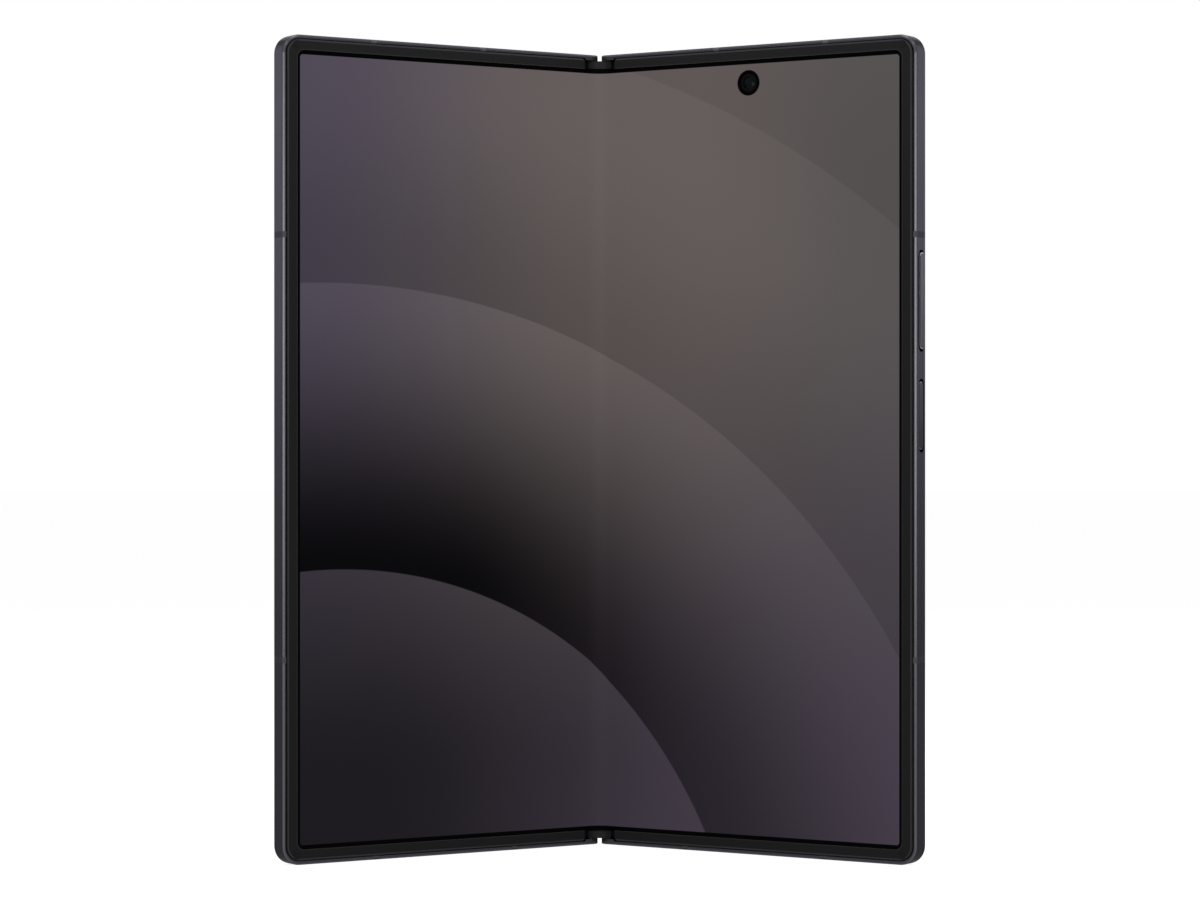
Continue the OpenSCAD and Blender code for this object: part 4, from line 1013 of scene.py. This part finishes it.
LENS_X, LENS_Z = 57.6, (107.0, 125.0, 143.0)
ELEMENT_R, ELEMENT_Y, ELEMENT_T, ELEMENT_EDGE = 3.35, 4.05, 0.6, 0.1
INNER_R, INNER_BACK, INNER_T, INNER_EDGE = 1.25, 0.59, 0.19, 0.02

sapphire = Finish("sapphire_window", tint(250, 250, 252), 0.01, gloss=0.5)
sapphire.fixed("Transmission Weight", 1)
sapphire.fixed("IOR", 1.14)
wipe = sapphire.noise(0.2, 2)
sapphire.rough(sapphire.between(wipe, 0.4, 0.7, 0.0, 0.03))
dress(sapphire, "lens_glasses")


def dome(radius, edge, rise, smooth_rings=14, segments=72):
    """A lens of that radius with a short straight edge and a domed top, in mm, closed."""
    ball = (radius * radius + rise * rise) / (2 * rise)
    reach = math.asin(radius / ball)
    profile = [(0.0, 0.0), (radius, 0.0)] + [
        (ball * math.sin(reach * step / smooth_rings),
         edge + rise - ball * (1 - math.cos(reach * step / smooth_rings)))
        for step in range(smooth_rings, -1, -1)]
    bm = bmesh.new()
    verts = [bm.verts.new((r, 0, h)) for r, h in profile]
    edges = [bm.edges.new((a, b)) for a, b in zip(verts, verts[1:])]
    bmesh.ops.spin(bm, geom=verts + edges, cent=(0, 0, 0), axis=(0, 0, 1), angle=math.tau,
                   steps=segments)
    bmesh.ops.remove_doubles(bm, verts=bm.verts, dist=0.0005)
    bmesh.ops.recalc_face_normals(bm, faces=bm.faces)
    for face in bm.faces:
        face.smooth = face.normal.z > 0.05
    for seam in bm.edges:
        seam.smooth = len({face.smooth for face in seam.link_faces}) == 1
    return bm


def set_lens(bm, finish, name, places):
    """One mesh with a copy of the lens at each place; each place maps a point in mm to metres."""
    shape = bpy.data.meshes.new(name)
    bm.to_mesh(shape)
    bm.free()
    whole = bmesh.new()
    for place in places:
        start = len(whole.verts)
        whole.from_mesh(shape)
        whole.verts.ensure_lookup_table()
        for vert in whole.verts[start:]:
            vert.co = place(vert.co)
    if whole.calc_volume(signed=True) < 0:
        bmesh.ops.reverse_faces(whole, faces=whole.faces)
    whole.to_mesh(shape)
    whole.free()
    shape.materials.append(finish.material)
    return shape


coated = Finish("coated_lens", tint(4, 4, 8), 0.05, gloss=0.5)
coated.fixed("IOR", 1.22)
coated.fixed("Specular Tint", (0.5, 0.42, 1.0, 1))
coated_x, _, coated_z = coated.parts(coated.leaf_place(1))
nearest = None
for z in LENS_Z:
    away = coated.away(coated_x, coated_z, LENS_X, z)
    nearest = away if nearest is None else coated.math("MINIMUM", nearest, away)
# Painted reflection: each lens is painted purple outside its dark middle, as the colour its
# coating reflects.
painted_coating_reflection = coated.between(nearest, 1.25, 1.4)
coated.mottle(painted_coating_reflection, (1, 1, 2), (22, 16, 34))
coated.satin(coated.noise(0.6, 1), 0.03, 0.06)

fit("coated_elements", set_lens(
    dome(ELEMENT_R, ELEMENT_EDGE, ELEMENT_T - ELEMENT_EDGE), coated, "coated_elements",
    [lambda at, z=z: leaf_point(1, LENS_X + at.x, ELEMENT_Y + at.z, z + at.y) for z in LENS_Z]),
    "right_leaf", "camera_glass", "lens_elements")

small_lens = Finish("small_coated_lens", tint(13, 13, 14), 0.1, gloss=0.05)
small_lens.fixed("Specular Tint", (0.78, 0.84, 1.0, 1))
small_lens.satin(small_lens.noise(0.8, 1), 0.06, 0.14)
fit("inner_camera_dome", set_lens(
    dome(INNER_R, INNER_EDGE, INNER_T - INNER_EDGE), small_lens, "inner_camera_dome",
    [lambda at: leaf_point(1, CAMERA_X + at.x, INNER_BACK - at.z, CAMERA_Z + at.y)]),
    "right_leaf", "camera_glass", "inner_camera_lens")
dress(small_lens, "cover_camera_lens")

housing = Finish("camera_housing", tint(17, 17, 18), 0.55, gloss=0.04)
matt = housing.noise(8, 2)
housing.mottle(matt, (13, 13, 14), (19, 19, 20))
housing.bump(matt, 0.005, 0.3)
dress(housing, "rear_cameras", "cover_camera")

bore = Finish("inner_camera_bore", tint(9, 9, 10), 0.6, gloss=0.03)
bore_grain = bore.noise(8, 2)
bore.mottle(bore_grain, (6, 6, 7), (11, 11, 12))
bore.bump(bore_grain, 0.004, 0.3)
dress(bore, "inner_camera")


def rings(recipe, circle_r, pitch, count, wire):
    """Concentric fine rings round the z axis, the smallest with radius circle_r."""
    line = recipe.node("GeometryNodeMeshLine", {"Count": count, "Offset": (0, 0, 0)})
    index = recipe.node("GeometryNodeInputIndex", {})
    grown = recipe.math("ADD", circle_r, recipe.math("MULTIPLY", index, pitch))
    circle = recipe.node(
        "GeometryNodeCurvePrimitiveCircle", {"Resolution": 64, "Radius": 1.0}, mode="RADIUS")
    laid = recipe.node("GeometryNodeInstanceOnPoints", {
        "Points": line, "Instance": circle, "Scale": recipe.vector(grown, grown, grown)})
    bare = recipe.node("GeometryNodeRealizeInstances", {"Geometry": laid})
    profile = recipe.node(
        "GeometryNodeCurvePrimitiveCircle", {"Resolution": 6, "Radius": wire}, mode="RADIUS")
    return recipe.node("GeometryNodeCurveToMesh", {"Curve": bare, "Profile Curve": profile})


recipe = Recipe("barrel_baffles")
baffles = rings(recipe, recipe.size("First radius", 3.56), recipe.size("Ring pitch", 0.19),
                recipe.size("Rings", 5), recipe.size("Ring thickness", 0.05))
spread = recipe.row(baffles, recipe.size("Cameras", len(LENS_Z)),
                    recipe.vector(y=recipe.size("Camera pitch", LENS_Z[1] - LENS_Z[0])))
fit("barrel_baffles", recipe.mesh(spread, housing.material, lambda at: leaf_point(
    1, LENS_X + at.x, ELEMENT_Y + ELEMENT_T + at.z, LENS_Z[1] + at.y), smooth=True),
    "right_leaf", "camera_housing")


# ---- Flash
# A Fresnel lens of clear resin, moulded with fine rings on its face, is bonded flush into the
# back glass beside the camera island, over an LED with yellow phosphor.
FLASH_X, FLASH_Z, FLASH_TOP = 44.6, 143.0, 4.15
flash_lens = Finish("flash_lens", tint(214, 206, 170), 0.15, gloss=0.5)
flash_x, _, flash_z = flash_lens.parts(flash_lens.leaf_place(1))
off_x = flash_lens.math("ABSOLUTE", flash_lens.math("SUBTRACT", flash_x, FLASH_X))
off_z = flash_lens.math("ABSOLUTE", flash_lens.math("SUBTRACT", flash_z, FLASH_Z))
chip = flash_lens.between(flash_lens.math("MAXIMUM", off_x, off_z), 0.62, 0.8, 1, 0)
milk = flash_lens.noise(2, 2)
clear = flash_lens.blend_colour(milk, tint(196, 194, 184), tint(222, 220, 210))
flash_lens.colour(flash_lens.blend_colour(chip, clear, tint(230, 206, 96)))
dress(flash_lens, "flash")

recipe = Recipe("flash_rings")
fresnel = rings(recipe, recipe.size("First radius", 0.36), recipe.size("Ring pitch", 0.2),
                recipe.size("Rings", 9), recipe.size("Ring thickness", 0.045))
fit("flash_rings", recipe.mesh(fresnel, flash_lens.material, lambda at: leaf_point(
    1, FLASH_X + at.x, FLASH_TOP + at.z, FLASH_Z + at.y), smooth=True), "right_leaf", "flash_lens")
